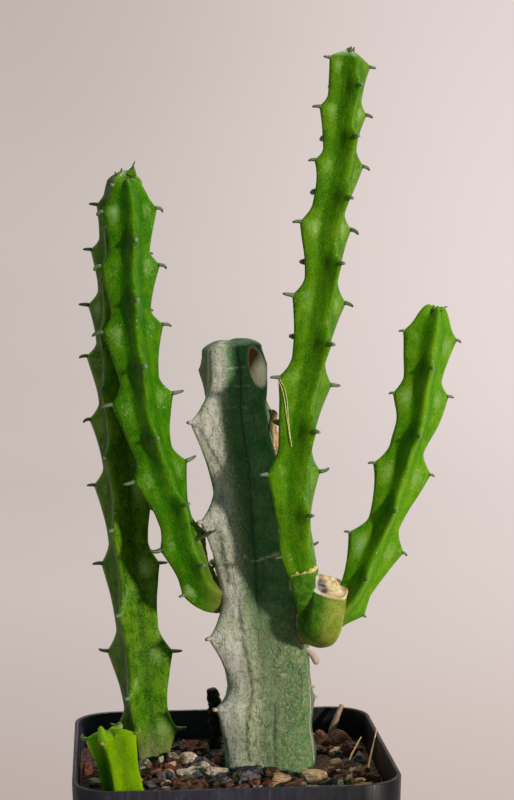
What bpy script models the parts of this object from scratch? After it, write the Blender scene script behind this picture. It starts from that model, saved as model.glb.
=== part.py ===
"""Potted caralluma.

A leafless succulent with four-angled, toothed stems grows in a small square nursery pot. An old
grey-green main stem carries a left branch and a cut branch, and a tall branch and a right branch
grow from the cut branch. A rear stem and a front sprout come from the soil beside it. Teeth stand
on the four angles of every stem in opposite pairs, and each green tooth ends in a small hooked
leaf. Dry bits stand in the gritty soil.

Units are metres, +Z is up, and the origin is the middle of the pot's flat base. The front of the
plant faces -Y.
"""
import math
import random
from collections import namedtuple

import bmesh
import bpy
import numpy as np
from mathutils import Matrix, Vector, noise

MM = 0.001
OBJECT_NAME = "potted_caralluma"
GAP = 0.3 * MM
SEED = 11

# Pot
POT_HEIGHT = 72 * MM
RIM_WIDTH = 75 * MM
BAND_HEIGHT = 12 * MM
BAND_FOOT_WIDTH = 74.4 * MM
BODY_TOP_WIDTH = 72 * MM
BASE_WIDTH = 56 * MM
WALL = 1.0 * MM
FLOOR = 1.4 * MM
RIM_CORNER_RADIUS = 10 * MM
CORNER_SEGMENTS = 5
DRAIN_RADIUS = 4 * MM
DRAIN_OFFSET = 16 * MM
DRAIN_SIDES = 20
DRAIN_CUT = 6 * MM

# Soil
SOIL_LEVEL = 64.4 * MM
SOIL_BLOCK_TOP = 70 * MM
AIR_TOP = 74 * MM
SOIL_SIDE_GAP = 0.45 * MM
MOUND_CENTRE = (9 * MM, 8 * MM)
MOUND_HEIGHT = 1.1 * MM
MOUND_SPREAD = 15 * MM
LUMP_HEIGHT = 0.9 * MM
LUMP_FREQUENCY = 210.0
TERRAIN_CELLS = 18
SCATTERED_CHIPS = 30
CHIP_REACH = 31.0
CHIP_CORNER = 25.0
CHIP_LENGTHS = (2.2, 4.8)
CHIP_WIDTH_SHARES = (0.45, 0.9)
CHIP_HEIGHTS = (1.6, 3.0)
CHIP_JITTER = 0.16
CHIP_TILT = 12.0
CHIP_LIFT = 0.12
LUMP_SHARE = 0.4
LUMP_RADIUS = 0.58

# Stems
SIDES = 12
MAIN_SIDES = 16
SHOULDER_SHARE = 0.53
LEAST_SHOULDER = 2.0
SHOULDER_CURVE = 1.3
TAPER_SHARE = 1.5
LEAST_TAPER = 3.0
TAPER_CURVE = 1.5
TOOTH_HALF_WIDTH = 40.0
TOOTH_SIDE_CURVE = 1.5
END_GAP = 6.0
RING_SHARES = (0.0, 0.48, 0.78)
LEAST_RING_STEP = 0.45
PLAIN_RING_STEP = 8.0
PLAIN_FOOT = 3.0
TIP_RING_SHARE = 0.4
TIP_TOOTH_SHARE = 0.8
DIRECTION_REACH = 1.5
HOOK_SIDES = 4
HOOK_ROOT = 0.62
HOOK_MIDDLE = 0.52
HOOK_TIP = 0.2
HOOK_FLATNESS = 0.75
HOOK_SUNK = 1.0
HOOK_LENGTH_SPREAD = 0.1
HOOK_RISE_SPREAD = 0.12

# A stem is described from its tip down, in millimetres and degrees. path is its centreline, rib
# its radius at the four angles, groove the share of that radius between them, turn the angle of
# its front rib towards the viewer's right, sides the distances from the tip of its side pairs of
# teeth, teeth their height, share the part of that height on the front, right, back and left rib,
# hook the length of the leaf on a tooth, rise how far its end lifts, tip the length of the rounded
# end, and crown the share of the radius left at its very top.
Stem = namedtuple("Stem", "name path rib groove turn sides teeth share hook rise tip crown")

MAIN_STEM = Stem(
    name="main_stem",
    path=((1.7, 13.5, 169.1), (2.8, 13.2, 159.3), (3.2, 12.9, 151.5), (4.6, 12.5, 141.0),
          (6.2, 12.1, 129.9), (7.6, 11.8, 118.8), (8.7, 11.5, 105.2), (10.1, 11.3, 92.7),
          (10.6, 11.2, 82.7), (10.2, 11.1, 74.0), (10.9, 11.0, 64.4), (11.2, 11.0, 50.0)),
    rib=((0, 8.0), (4, 8.8), (12, 9.2), (25, 10.0), (36, 10.5), (54, 11.4), (84, 12.4), (99, 13.3),
         (105, 13.6), (120, 12.0)),
    groove=0.82,
    turn=((0, 42), (17, 37), (105, 37)),
    sides=(18.3, 41.8, 70.0, 90.0),
    teeth=((6, 4.8), (18, 5.4), (42, 5.8), (70, 6.0), (90, 4.8)),
    share=(0.35, 0.6, 1.0, 1.0),
    hook=((0, 0), (120, 0)),
    rise=((0, 0), (120, 0)),
    tip=2.0,
    crown=0.62,
)
CUT_BRANCH = Stem(
    name="cut_branch",
    path=((24.6, -5.8, 116.5), (23.8, -5.4, 111.6), (22.2, -4.9, 107.3), (20.7, -2.9, 102.9),
          (19.4, 1.4, 100.7), (16.2, 7.0, 98.4)),
    rib=((0, 5.6), (5, 5.8), (12, 6.1), (20, 6.1), (30, 5.8)),
    groove=0.9,
    turn=((0, 40), (30, 40)),
    sides=(),
    teeth=((0, 0), (30, 0)),
    share=(0, 0, 0, 0),
    hook=((0, 0), (30, 0)),
    rise=((0, 0), (30, 0)),
    tip=1.0,
    crown=0.8,
)
TALL_BRANCH = Stem(
    name="tall_branch",
    path=((28.9, -5.0, 237.6), (28.0, -5.2, 229.3), (26.7, -5.5, 218.9), (26.0, -5.8, 209.2),
          (23.2, -6.2, 198.0), (22.0, -6.6, 185.2), (20.5, -7.0, 174.7), (17.6, -7.3, 158.8),
          (15.6, -7.5, 146.6), (15.0, -7.4, 132.4), (15.5, -7.1, 122.8), (17.4, -6.7, 115.1),
          (20.0, -5.6, 109.0)),
    rib=((0, 4.5), (10, 4.6), (60, 4.75), (100, 4.75), (116, 4.5), (124, 4.0), (132, 3.4)),
    groove=0.66,
    turn=((0, 24), (30, 29), (131, 31)),
    sides=(2.6, 14.3, 26.5, 41.4, 58.6, 78.1, 99.9, 118.5),
    teeth=((2, 1.5), (14, 2.0), (27, 2.4), (41, 2.8), (59, 3.1), (100, 3.1), (110, 2.4), (118, 0.8)),
    share=(1.0, 1.0, 0.85, 1.0),
    hook=((0, 1.4), (14, 2.0), (60, 2.5), (110, 2.5), (118, 1.6)),
    rise=((0, -0.1), (30, -0.3), (60, -0.1), (118, 0.15)),
    tip=1.6,
    crown=0.3,
)
RIGHT_BRANCH = Stem(
    name="right_branch",
    path=((49.1, -4.5, 176.9), (47.3, -4.4, 167.3), (46.0, -4.3, 159.0), (45.1, -4.2, 151.1),
          (42.5, -4.1, 144.0), (40.6, -4.0, 136.3), (37.7, -3.9, 128.0), (34.1, -3.8, 118.9),
          (31.3, -3.7, 112.3), (28.9, -3.2, 107.9), (26.0, -2.4, 104.4), (23.0, -1.5, 101.8)),
    rib=((0, 4.4), (6, 4.9), (12, 4.9), (30, 4.3), (51, 3.9), (68, 4.1), (74, 3.8), (80, 3.2), (86, 2.8)),
    groove=0.66,
    turn=((0, 8), (83, 0)),
    sides=(6.3, 20.5, 38.8, 57.5, 73.8),
    teeth=((6, 1.9), (20, 2.3), (39, 3.1), (57, 3.3), (67, 2.2), (74, 1.6)),
    share=(1.0, 1.0, 1.0, 1.0),
    hook=((0, 1.0), (83, 1.0)),
    rise=((0, -0.2), (83, -0.2)),
    tip=3.2,
    crown=0.3,
)
LEFT_BRANCH = Stem(
    name="left_branch",
    path=((-23.3, 1.0, 207.7), (-22.6, 1.4, 199.5), (-22.7, 1.9, 188.9), (-22.5, 2.5, 177.1),
          (-21.3, 3.2, 165.2), (-18.8, 4.0, 148.3), (-15.3, 4.5, 136.1), (-11.8, 5.2, 124.6),
          (-8.7, 5.7, 116.4), (-6.0, 6.2, 110.2), (-2.6, 6.9, 105.6), (2.0, 8.0, 103.0)),
    rib=((0, 4.6), (7, 4.9), (30, 4.9), (60, 4.8), (80, 4.6), (96, 4.3), (112, 4.0)),
    groove=0.65,
    turn=((0, 10), (60, 16), (110, 30)),
    sides=(7.0, 20.1, 35.0, 52.1, 70.2, 87.8, 99.0),
    teeth=((7, 1.8), (20, 2.4), (35, 2.7), (52, 3.0), (70, 2.8), (88, 2.1), (99, 0.8)),
    share=(1.0, 1.0, 1.0, 1.0),
    hook=((0, 1.6), (20, 2.2), (60, 2.5), (90, 2.4), (99, 1.2)),
    rise=((0, -0.7), (35, -0.3), (60, 0.1), (99, 0.3)),
    tip=2.4,
    crown=0.3,
)
REAR_STEM = Stem(
    name="rear_stem",
    path=((-22.6, 18.0, 210.5), (-24.7, 18.2, 198.4), (-25.7, 18.6, 181.3), (-26.2, 18.9, 166.6),
          (-25.6, 19.2, 151.8), (-24.7, 19.5, 136.9), (-23.6, 19.9, 119.4), (-21.8, 20.3, 99.1),
          (-20.1, 20.7, 81.3), (-18.8, 21.0, 64.1), (-18.2, 21.2, 54.0)),
    rib=((0, 4.6), (8, 5.2), (60, 5.3), (100, 5.5), (125, 6.0), (147, 6.0), (157, 5.2)),
    groove=0.66,
    turn=((0, -28), (157, -28)),
    sides=(9.2, 19.8, 33.4, 45.6, 61.1, 77.6, 97.2, 119.6, 139.2),
    teeth=((4, 1.0), (9, 1.6), (20, 2.4), (46, 2.9), (78, 3.1), (97, 2.8), (120, 3.4), (139, 2.5)),
    share=(1.0, 1.0, 1.0, 1.0),
    hook=((0, 1.6), (20, 2.3), (157, 2.4)),
    rise=((0, 0.2), (20, -0.1), (60, -0.2), (157, 0.2)),
    tip=3.0,
    crown=0.3,
)
FRONT_SPROUT = Stem(
    name="front_sprout",
    path=((-28.8, -15.2, 80.2), (-28.2, -15.2, 77.0), (-27.2, -15.0, 73.0), (-25.9, -14.6, 65.5),
          (-25.2, -14.4, 56.0)),
    rib=((0, 3.8), (3, 4.3), (9, 4.8), (17, 5.2), (26, 4.8)),
    groove=0.66,
    turn=((0, -18), (26, -18)),
    sides=(1.2,),
    teeth=((0, 2.4), (26, 2.4)),
    share=(1.0, 1.0, 1.0, 1.0),
    hook=((0, 2.2), (26, 2.2)),
    rise=((0, 1.1), (26, 1.1)),
    tip=1.2,
    crown=0.6,
)

# Loose dry bits: points along each in millimetres with the radius there
WITHERED_TWIG = (((-2.0, 25.2, 58.0), 1.4), ((-2.2, 25.0, 68.0), 1.3), ((-1.7, 25.0, 73.0), 1.0),
                 ((-2.3, 24.9, 77.0), 1.6), ((-3.4, 24.8, 80.0), 0.9))
WOOD_SLIVER = (((26.6, 28.8, 61.5), 0.9), ((28.6, 30.6, 68.0), 0.9), ((31.2, 33.2, 73.2), 0.6))
LONG_STRAW = (((28.4, 9.4, 60.5), 0.45), ((30.8, 11.0, 65.6), 0.45), ((33.7, 14.0, 69.6), 0.35))
SHORT_STRAW = (((33.0, 3.6, 59.0), 0.4), ((34.7, 4.6, 66.5), 0.4), ((36.7, 5.8, 75.2), 0.32))
DRY_STICKS = {
    "withered_twig": WITHERED_TWIG,
    "wood_sliver": WOOD_SLIVER,
    "long_straw": LONG_STRAW,
    "short_straw": SHORT_STRAW,
}
STICK_SIDES = 6

# Dried husk: it lies along the main stem's front right angle
HUSK_TOP = 17.5
HUSK_FOOT = 28.0
HUSK_RINGS = 7
HUSK_ANGLE = 58.0
HUSK_WIDTH = 2.3
HUSK_THICKNESS = 0.7
HUSK_CLEARANCE = 0.35
HUSK_LEANS = (-8, 0, 8)
HUSK_TOP_WIDTH = 0.35
HUSK_SWELL = (0.15, 0.75)

# Cut face of the cut branch
CUT_POINT = (23.6, -5.4, 111.6)
CUT_NORMAL = (0.22, -0.36, 0.9)

# Chips that show: middle x and y, length, width and height in millimetres, turn in degrees
Chip = namedtuple("Chip", "x y length width height turn lump")
SHOWN_CHIPS = (
    Chip(-9.4, 11.8, 4.9, 3.0, 3.2, 10, True),
    Chip(-6.0, 4.1, 2.6, 2.4, 3.6, 30, True),
    Chip(-2.8, 8.4, 2.8, 2.6, 3.0, 0, True),
    Chip(-34.0, 5.1, 2.4, 3.4, 4.6, 0, True),
    Chip(-13.4, -10.6, 2.0, 1.8, 5.6, 12, False),
    Chip(4.6, -2.2, 5.2, 3.0, 2.4, -14, False),
    Chip(-2.9, -9.4, 4.8, 2.2, 3.2, -24, False),
    Chip(11.2, -10.4, 3.9, 2.6, 3.6, 4, False),
    Chip(19.0, -10.2, 5.4, 2.2, 3.4, -26, False),
    Chip(26.2, 1.8, 3.3, 3.0, 3.9, 20, True),
    Chip(28.1, -11.2, 3.0, 1.6, 4.0, 70, False),
    Chip(24.0, 22.6, 4.6, 3.4, 6.4, -60, False),
    Chip(30.2, 24.4, 6.2, 4.4, 6.2, 15, True),
    Chip(-30.4, -2.6, 3.6, 2.8, 2.6, 40, False),
)
# Where scattered chips stay away from what stands in the soil: middle x and y, and distance
CLEARINGS = ((10.9, 11.0, 15.0), (-18.8, 21.0, 8.0), (-25.9, -14.6, 7.5), (27.5, 10.5, 2.5),
             (34.2, 4.2, 2.0), (27.5, 29.5, 3.0), (-1.8, 25.1, 3.5))

# Colours: linear red, green and blue, then roughness
MATERIALS = {
    "pot": ((0.022, 0.02, 0.026), 0.42),
    "soil": ((0.07, 0.045, 0.032), 0.95),
    "main_stem": ((0.2, 0.25, 0.13), 0.75),
    "cut_branch": ((0.2, 0.26, 0.06), 0.5),
    "tall_branch": ((0.05, 0.15, 0.012), 0.4),
    "right_branch": ((0.055, 0.15, 0.018), 0.42),
    "left_branch": ((0.05, 0.13, 0.016), 0.42),
    "rear_stem": ((0.045, 0.12, 0.012), 0.38),
    "front_sprout": ((0.16, 0.3, 0.01), 0.4),
    "dry_husk": ((0.5, 0.34, 0.18), 0.85),
    "withered_twig": ((0.03, 0.022, 0.02), 0.9),
    "wood_sliver": ((0.3, 0.22, 0.18), 0.85),
    "long_straw": ((0.55, 0.45, 0.3), 0.7),
    "short_straw": ((0.5, 0.4, 0.27), 0.7),
}


def clear_scene():
    for item in list(bpy.data.objects):
        bpy.data.objects.remove(item, do_unlink=True)


def make_collection(name):
    collection = bpy.data.collections.new(name)
    bpy.context.scene.collection.children.link(collection)
    return collection


def make_material(name):
    colour, roughness = MATERIALS[name]
    material = bpy.data.materials.new(name)
    material.use_nodes = True
    shader = material.node_tree.nodes["Principled BSDF"]
    shader.inputs["Base Color"].default_value = (*colour, 1.0)
    shader.inputs["Roughness"].default_value = roughness
    shader.inputs["Metallic"].default_value = 0.0
    return material


def add_object(name, bm, collection):
    """Turn a bmesh into an object, with its faces pointing out."""
    bmesh.ops.recalc_face_normals(bm, faces=bm.faces[:])
    mesh = bpy.data.meshes.new(name)
    bm.to_mesh(mesh)
    bm.free()
    item = bpy.data.objects.new(name, mesh)
    collection.objects.link(item)
    return item


def add_part(name, bm, parts):
    item = add_object(name, bm, parts)
    item.data.materials.append(make_material(name))
    return item


def add_cutter(name, bm, cutters):
    item = add_object(name, bm, cutters)
    item.hide_render = True
    item.display_type = "WIRE"
    return item


def apply_boolean(item, operation, cutter=None, collection=None):
    """Apply one Boolean modifier and keep its result as the object's mesh."""
    modifier = item.modifiers.new(operation.lower(), "BOOLEAN")
    modifier.operation = operation
    modifier.solver = "EXACT"
    if collection is None:
        modifier.object = cutter
    else:
        modifier.operand_type = "COLLECTION"
        modifier.collection = collection
    bpy.context.view_layer.update()
    graph = bpy.context.evaluated_depsgraph_get()
    mesh = bpy.data.meshes.new_from_object(item.evaluated_get(graph))
    item.modifiers.clear()
    item.data = mesh


def drop_scraps(item):
    """Keep the largest body of an object that a cut has left in several."""
    bm = bmesh.new()
    bm.from_mesh(item.data)
    unseen = set(bm.verts)
    bodies = []
    while unseen:
        front = [unseen.pop()]
        body = list(front)
        while front:
            near = {edge.other_vert(vert) for vert in front for edge in vert.link_edges}
            front = list(near & unseen)
            unseen.difference_update(front)
            body += front
        bodies.append(body)
    bodies.sort(key=len)
    for body in bodies[:-1]:
        bmesh.ops.delete(bm, geom=body, context="VERTS")
    bm.to_mesh(item.data)
    bm.free()


def fuse_repeats(item, repeats):
    """Join a node's repeats to it with one union, and remove them."""
    if not repeats.objects:
        return
    apply_boolean(item, "UNION", collection=repeats)
    for repeat in list(repeats.objects):
        bpy.data.objects.remove(repeat, do_unlink=True)


def loft(rings):
    """A closed tube through rings of equally many points, from a cylinder cut into rings."""
    sides = len(rings[0])
    last = len(rings) - 1
    step = 2 * math.pi / sides
    bm = bmesh.new()
    bmesh.ops.create_cone(bm, cap_ends=True, segments=sides, radius1=1, radius2=1, depth=2)
    uprights = [edge for edge in bm.edges if abs(edge.verts[0].co.z - edge.verts[1].co.z) > 1]
    bmesh.ops.subdivide_edges(bm, edges=uprights, cuts=last - 1)
    for vert in bm.verts:
        level = round((vert.co.z + 1) / 2 * last)
        place = round(math.atan2(-vert.co.x, vert.co.y) / step) % sides
        vert.co = rings[level][place]
    return bm


def at(table, distance):
    """Read a table of (distance, value) pairs between its entries."""
    distances, values = zip(*table)
    return float(np.interp(distance, distances, values))


class Centreline:
    """A smooth curve through a stem's path, read by distance from the tip in millimetres."""

    SAMPLES = 24

    def __init__(self, path):
        points = [Vector(point) for point in path]
        first = points[0] * 2 - points[1]
        last = points[-1] * 2 - points[-2]
        knots = [first] + points + [last]
        self.points = [points[0]]
        for index in range(1, len(knots) - 2):
            before, start, end, after = knots[index - 1:index + 3]
            for sample in range(1, self.SAMPLES + 1):
                t = sample / self.SAMPLES
                self.points.append(0.5 * (2 * start + (end - before) * t
                                          + (2 * before - 5 * start + 4 * end - after) * t ** 2
                                          + (3 * start - before - 3 * end + after) * t ** 3))
        steps = [(b - a).length for a, b in zip(self.points, self.points[1:])]
        self.distances = np.concatenate([[0.0], np.cumsum(steps)])
        self.length = float(self.distances[-1])
        self.axes = np.array(self.points).T

    def place(self, distance):
        return Vector([float(np.interp(distance, self.distances, axis)) for axis in self.axes])

    def frame(self, distance):
        """Where the stem is, which way its tip lies, its front and its right."""
        low = min(distance + DIRECTION_REACH, self.length)
        high = max(distance - DIRECTION_REACH, 0.0)
        up = (self.place(high) - self.place(low)).normalized()
        front = Vector((0, -1, 0))
        front = (front - up * front.dot(up)).normalized()
        return self.place(distance), up, front, up.cross(front)


def whorls(stem):
    """Distance of each opposite pair of teeth, its two ribs, and its reach up and down the stem."""
    pairs = [(distance, (1, 3)) for distance in stem.sides]
    for above, below in zip(stem.sides, stem.sides[1:]):
        pairs.append(((above + below) / 2, (0, 2)))
    if len(stem.sides) == 1:
        pairs.append((stem.sides[0], (0, 2)))
    elif stem.sides:
        first_gap = (stem.sides[1] - stem.sides[0]) / 2
        if stem.sides[0] - first_gap > stem.tip * TIP_TOOTH_SHARE:
            pairs.append((stem.sides[0] - first_gap, (0, 2)))
    pairs.sort()
    found = []
    for index, (distance, ribs) in enumerate(pairs):
        above = pairs[index - 1][0] if index else distance - END_GAP
        below = pairs[index + 1][0] if index + 1 < len(pairs) else distance + END_GAP
        shoulder = max(SHOULDER_SHARE * (distance - above), LEAST_SHOULDER)
        taper = max(TAPER_SHARE * (below - distance), LEAST_TAPER)
        found.append((distance, ribs, shoulder, taper))
    return found


def tooth_profile(offset, shoulder, taper):
    """Height of a tooth above or below its point, as a share of its full height."""
    if -shoulder < offset <= 0:
        return (1 + offset / shoulder) ** SHOULDER_CURVE
    if 0 < offset < taper:
        return (1 - offset / taper) ** TAPER_CURVE
    return 0.0


def stem_radius(stem, teeth, distance, angle):
    """Radius at an angle from the front rib: four ribs, grooves between, and teeth on the ribs."""
    rib = round(angle / 90) % 4
    aside = (angle + 45) % 90 - 45
    crest = at(stem.rib, distance)
    groove = crest * stem.groove
    radius = groove + (crest - groove) * math.cos(math.radians(2 * aside)) ** 2
    width = max(0.0, 1 - abs(aside) / TOOTH_HALF_WIDTH) ** TOOTH_SIDE_CURVE
    for place, ribs, shoulder, taper in teeth:
        if rib in ribs:
            height = at(stem.teeth, place) * stem.share[rib]
            radius += height * width * tooth_profile(distance - place, shoulder, taper)
    if distance < stem.tip:
        radius *= stem.crown + (1 - stem.crown) * math.sqrt(1 - (1 - distance / stem.tip) ** 2)
    return radius


def ring_distances(stem, teeth, length):
    """Rings where the teeth need them, and a few between and beyond."""
    distances = [0.0, stem.tip * TIP_RING_SHARE, stem.tip]
    for index, (place, _, shoulder, _) in enumerate(teeth):
        following = teeth[index + 1][0] if index + 1 < len(teeth) else place + END_GAP
        if index == 0 and place - shoulder > stem.tip:
            distances.append(place - shoulder)
        distances += [place + share * (following - place) for share in RING_SHARES]
    beyond = distances[-1]
    while beyond + PLAIN_RING_STEP < length - PLAIN_FOOT:
        beyond += PLAIN_RING_STEP
        distances.append(beyond)
    distances.append(length)
    kept = []
    for distance in sorted(distances):
        if not kept or distance - kept[-1] > LEAST_RING_STEP:
            kept.append(distance)
    kept[-1] = length
    return kept


def stem_point(stem, line, teeth, distance, angle, grow=0.0):
    """A point on a stem's surface, angle measured from the viewer's side of it."""
    centre, _, front, right = line.frame(distance)
    radius = stem_radius(stem, teeth, distance, angle - at(stem.turn, distance)) + grow
    heading = math.radians(angle)
    return centre + (front * math.cos(heading) + right * math.sin(heading)) * radius


def stem_mesh(stem, sides, grow=0.0):
    """A stem as a loft, or its copy a little larger all round when grow is given."""
    line = Centreline(stem.path)
    teeth = whorls(stem)
    rings = []
    distances = ring_distances(stem, teeth, line.length)
    for distance in distances:
        turn = at(stem.turn, distance)
        ring = [stem_point(stem, line, teeth, distance, turn + side * 360 / sides, grow)
                for side in range(sides)]
        if distance in (distances[0], distances[-1]):
            outward = line.frame(distance)[1] * (grow if distance == distances[0] else -grow)
            ring = [point + outward for point in ring]
        rings.append([point * MM for point in ring])
    return loft(rings)


def hook_mesh(root, outward, up, across, length, rise):
    """A small leaf: flat, tapering, sunk in its tooth, its end lifted or drooping."""
    rings = []
    for share, size in ((-HOOK_SUNK / length, HOOK_ROOT), (0.5, HOOK_MIDDLE), (1.0, HOOK_TIP)):
        lift = rise * length * max(share, 0.0) ** 2
        centre = root + outward * (length * share) + up * lift
        ring = []
        for side in range(HOOK_SIDES):
            heading = 2 * math.pi * (side + 0.5) / HOOK_SIDES
            ring.append((centre + across * (math.cos(heading) * size)
                         + up * (math.sin(heading) * size * HOOK_FLATNESS)) * MM)
        rings.append(ring)
    return loft(rings)


def add_hooks(stem, repeats, draw):
    """A hook on every tooth, each a little different."""
    line = Centreline(stem.path)
    teeth = whorls(stem)
    for place, ribs, _, _ in teeth:
        _, up, front, right = line.frame(place)
        for rib in ribs:
            length = at(stem.hook, place) * (1 + draw.uniform(-1, 1) * HOOK_LENGTH_SPREAD)
            rise = at(stem.rise, place) + draw.uniform(-1, 1) * HOOK_RISE_SPREAD
            if length == 0:
                continue
            angle = at(stem.turn, place) + rib * 90
            heading = math.radians(angle)
            outward = front * math.cos(heading) + right * math.sin(heading)
            root = stem_point(stem, line, teeth, place, angle)
            hook = hook_mesh(root, outward, up, up.cross(outward), length, rise)
            add_object("%s_hook_%d_%d" % (stem.name, round(place), rib), hook, repeats)


def make_stem(stem, parts, repeats, draw, sides=SIDES):
    item = add_part(stem.name, stem_mesh(stem, sides), parts)
    add_hooks(stem, repeats, draw)
    fuse_repeats(item, repeats)
    return item


def rounded_square(half_width):
    """A bmesh with one flat face: a square whose corners are rounded as the pot's are."""
    bm = bmesh.new()
    bmesh.ops.create_grid(bm, x_segments=1, y_segments=1, size=half_width)
    radius = RIM_CORNER_RADIUS * half_width / (RIM_WIDTH / 2)
    bmesh.ops.bevel(bm, geom=bm.verts[:], offset=radius, segments=CORNER_SEGMENTS, profile=0.5,
                    affect="VERTICES", material=-1)
    return bm


def raise_walls(stations):
    """Extrude a rounded square through (half width, height) stations into one closed body."""
    half_width, height = stations[0]
    bm = rounded_square(half_width)
    bmesh.ops.translate(bm, verts=bm.verts[:], vec=(0, 0, height))
    bm.faces.ensure_lookup_table()
    face = bm.faces[0]
    for next_half_width, next_height in stations[1:]:
        grown = bmesh.ops.extrude_face_region(bm, geom=[face])["geom"]
        if height != stations[0][1]:
            bmesh.ops.delete(bm, geom=[face], context="FACES_ONLY")
        face = next(item for item in grown if isinstance(item, bmesh.types.BMFace))
        scale = next_half_width / half_width
        for vert in face.verts:
            vert.co = (vert.co.x * scale, vert.co.y * scale, next_height)
        half_width, height = next_half_width, next_height
    return bm


def make_pot(parts, cutters):
    band_foot = POT_HEIGHT - BAND_HEIGHT
    stations = (
        (BASE_WIDTH / 2, 0.0),
        (BODY_TOP_WIDTH / 2, band_foot),
        (BAND_FOOT_WIDTH / 2, band_foot),
        (RIM_WIDTH / 2, POT_HEIGHT),
        (RIM_WIDTH / 2 - WALL, POT_HEIGHT),
        (BAND_FOOT_WIDTH / 2 - WALL, band_foot + WALL),
        (BODY_TOP_WIDTH / 2 - WALL, band_foot + WALL),
        (BASE_WIDTH / 2 - WALL, FLOOR),
    )
    pot = add_part("pot", raise_walls(stations), parts)
    bm = bmesh.new()
    for x_side in (-1, 1):
        for y_side in (-1, 1):
            place = Matrix.Translation((x_side * DRAIN_OFFSET, y_side * DRAIN_OFFSET, FLOOR / 2))
            bmesh.ops.create_cone(bm, cap_ends=True, segments=DRAIN_SIDES, radius1=DRAIN_RADIUS,
                                  radius2=DRAIN_RADIUS, depth=DRAIN_CUT, matrix=place)
    apply_boolean(pot, "DIFFERENCE", cutter=add_cutter("drain_holes", bm, cutters))
    return pot


def soil_height(x, y):
    """Height of the soil: level, mounded round the main stem, and lumpy."""
    away = math.hypot(x - MOUND_CENTRE[0], y - MOUND_CENTRE[1]) / MOUND_SPREAD
    lumps = noise.noise(Vector((x * LUMP_FREQUENCY, y * LUMP_FREQUENCY, SEED)))
    return SOIL_LEVEL + MOUND_HEIGHT * math.exp(-away * away) + LUMP_HEIGHT * lumps


def chip_mesh(chip, draw):
    """A bark block or a rounder stone, uneven, sunk by half in the soil."""
    bm = bmesh.new()
    if chip.lump:
        bmesh.ops.create_icosphere(bm, subdivisions=1, radius=LUMP_RADIUS)
    else:
        bmesh.ops.create_cube(bm, size=1.0)
    for vert in bm.verts:
        vert.co += Vector([draw.uniform(-CHIP_JITTER, CHIP_JITTER) for _ in range(3)])
    size = Vector((chip.length, chip.width, chip.height)) * MM
    bmesh.ops.scale(bm, verts=bm.verts[:], vec=size)
    tilt = Matrix.Rotation(math.radians(draw.uniform(-CHIP_TILT, CHIP_TILT)), 4, "X")
    turn = Matrix.Rotation(math.radians(chip.turn), 4, "Z")
    x, y = chip.x * MM, chip.y * MM
    place = Matrix.Translation((x, y, soil_height(x, y) + size.z * CHIP_LIFT))
    bmesh.ops.transform(bm, verts=bm.verts[:], matrix=place @ turn @ tilt)
    return bm


def scattered_chips(draw):
    """Chips at random places, clear of the stems, the pot's wall and its corners."""
    chips = []
    while len(chips) < SCATTERED_CHIPS:
        x = draw.uniform(-CHIP_REACH, CHIP_REACH)
        y = draw.uniform(-CHIP_REACH, CHIP_REACH)
        length = draw.uniform(*CHIP_LENGTHS)
        in_corner = abs(x) > CHIP_CORNER and abs(y) > CHIP_CORNER
        crowded = any(math.hypot(x - px, y - py) < clear + length / 2 for px, py, clear in CLEARINGS)
        if in_corner or crowded:
            continue
        chips.append(Chip(x, y, length, length * draw.uniform(*CHIP_WIDTH_SHARES),
                          draw.uniform(*CHIP_HEIGHTS), draw.uniform(0, 180),
                          draw.random() < LUMP_SHARE))
    return chips


def make_soil(parts, cutters, repeats, draw):
    """The filled shape of the pot's inside, with a lumpy top, chips, and holes for what stands in it."""
    ledge = POT_HEIGHT - BAND_HEIGHT + WALL + GAP
    band_half = BAND_FOOT_WIDTH / 2 - WALL - GAP
    stations = (
        (BASE_WIDTH / 2 - WALL - SOIL_SIDE_GAP, FLOOR + GAP),
        (BODY_TOP_WIDTH / 2 - WALL - SOIL_SIDE_GAP, ledge),
        (band_half, ledge),
        (band_half, SOIL_BLOCK_TOP),
    )
    soil = add_part("soil", raise_walls(stations), parts)
    air = bmesh.new()
    bmesh.ops.create_grid(air, x_segments=TERRAIN_CELLS, y_segments=TERRAIN_CELLS, size=RIM_WIDTH / 2)
    for vert in air.verts:
        vert.co.z = soil_height(vert.co.x, vert.co.y)
    lifted = bmesh.ops.extrude_face_region(air, geom=air.faces[:])["geom"]
    for item in lifted:
        if isinstance(item, bmesh.types.BMVert):
            item.co.z = AIR_TOP
    apply_boolean(soil, "DIFFERENCE", cutter=add_cutter("air_above_soil", air, cutters))
    chips = list(SHOWN_CHIPS) + scattered_chips(draw)
    for index, chip in enumerate(chips):
        add_object("chip_%d" % index, chip_mesh(chip, draw), repeats)
    fuse_repeats(soil, repeats)
    return soil


def stick_mesh(stick, grow=0.0):
    """A tapering stick through points, each with its radius."""
    points = [Vector(point) for point, _ in stick]
    radii = [radius + grow for _, radius in stick]
    rings = []
    for index, (point, radius) in enumerate(zip(points, radii)):
        low = points[max(index - 1, 0)]
        high = points[min(index + 1, len(points) - 1)]
        along = (high - low).normalized()
        side = along.cross(Vector((0, 1, 0))).normalized()
        other = along.cross(side)
        if index in (0, len(points) - 1):
            point = point + along * (grow if index else -grow)
        ring = []
        for step in range(STICK_SIDES):
            heading = 2 * math.pi * step / STICK_SIDES
            ring.append((point + (side * math.cos(heading) + other * math.sin(heading)) * radius) * MM)
        rings.append(ring)
    return loft(rings)


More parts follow.
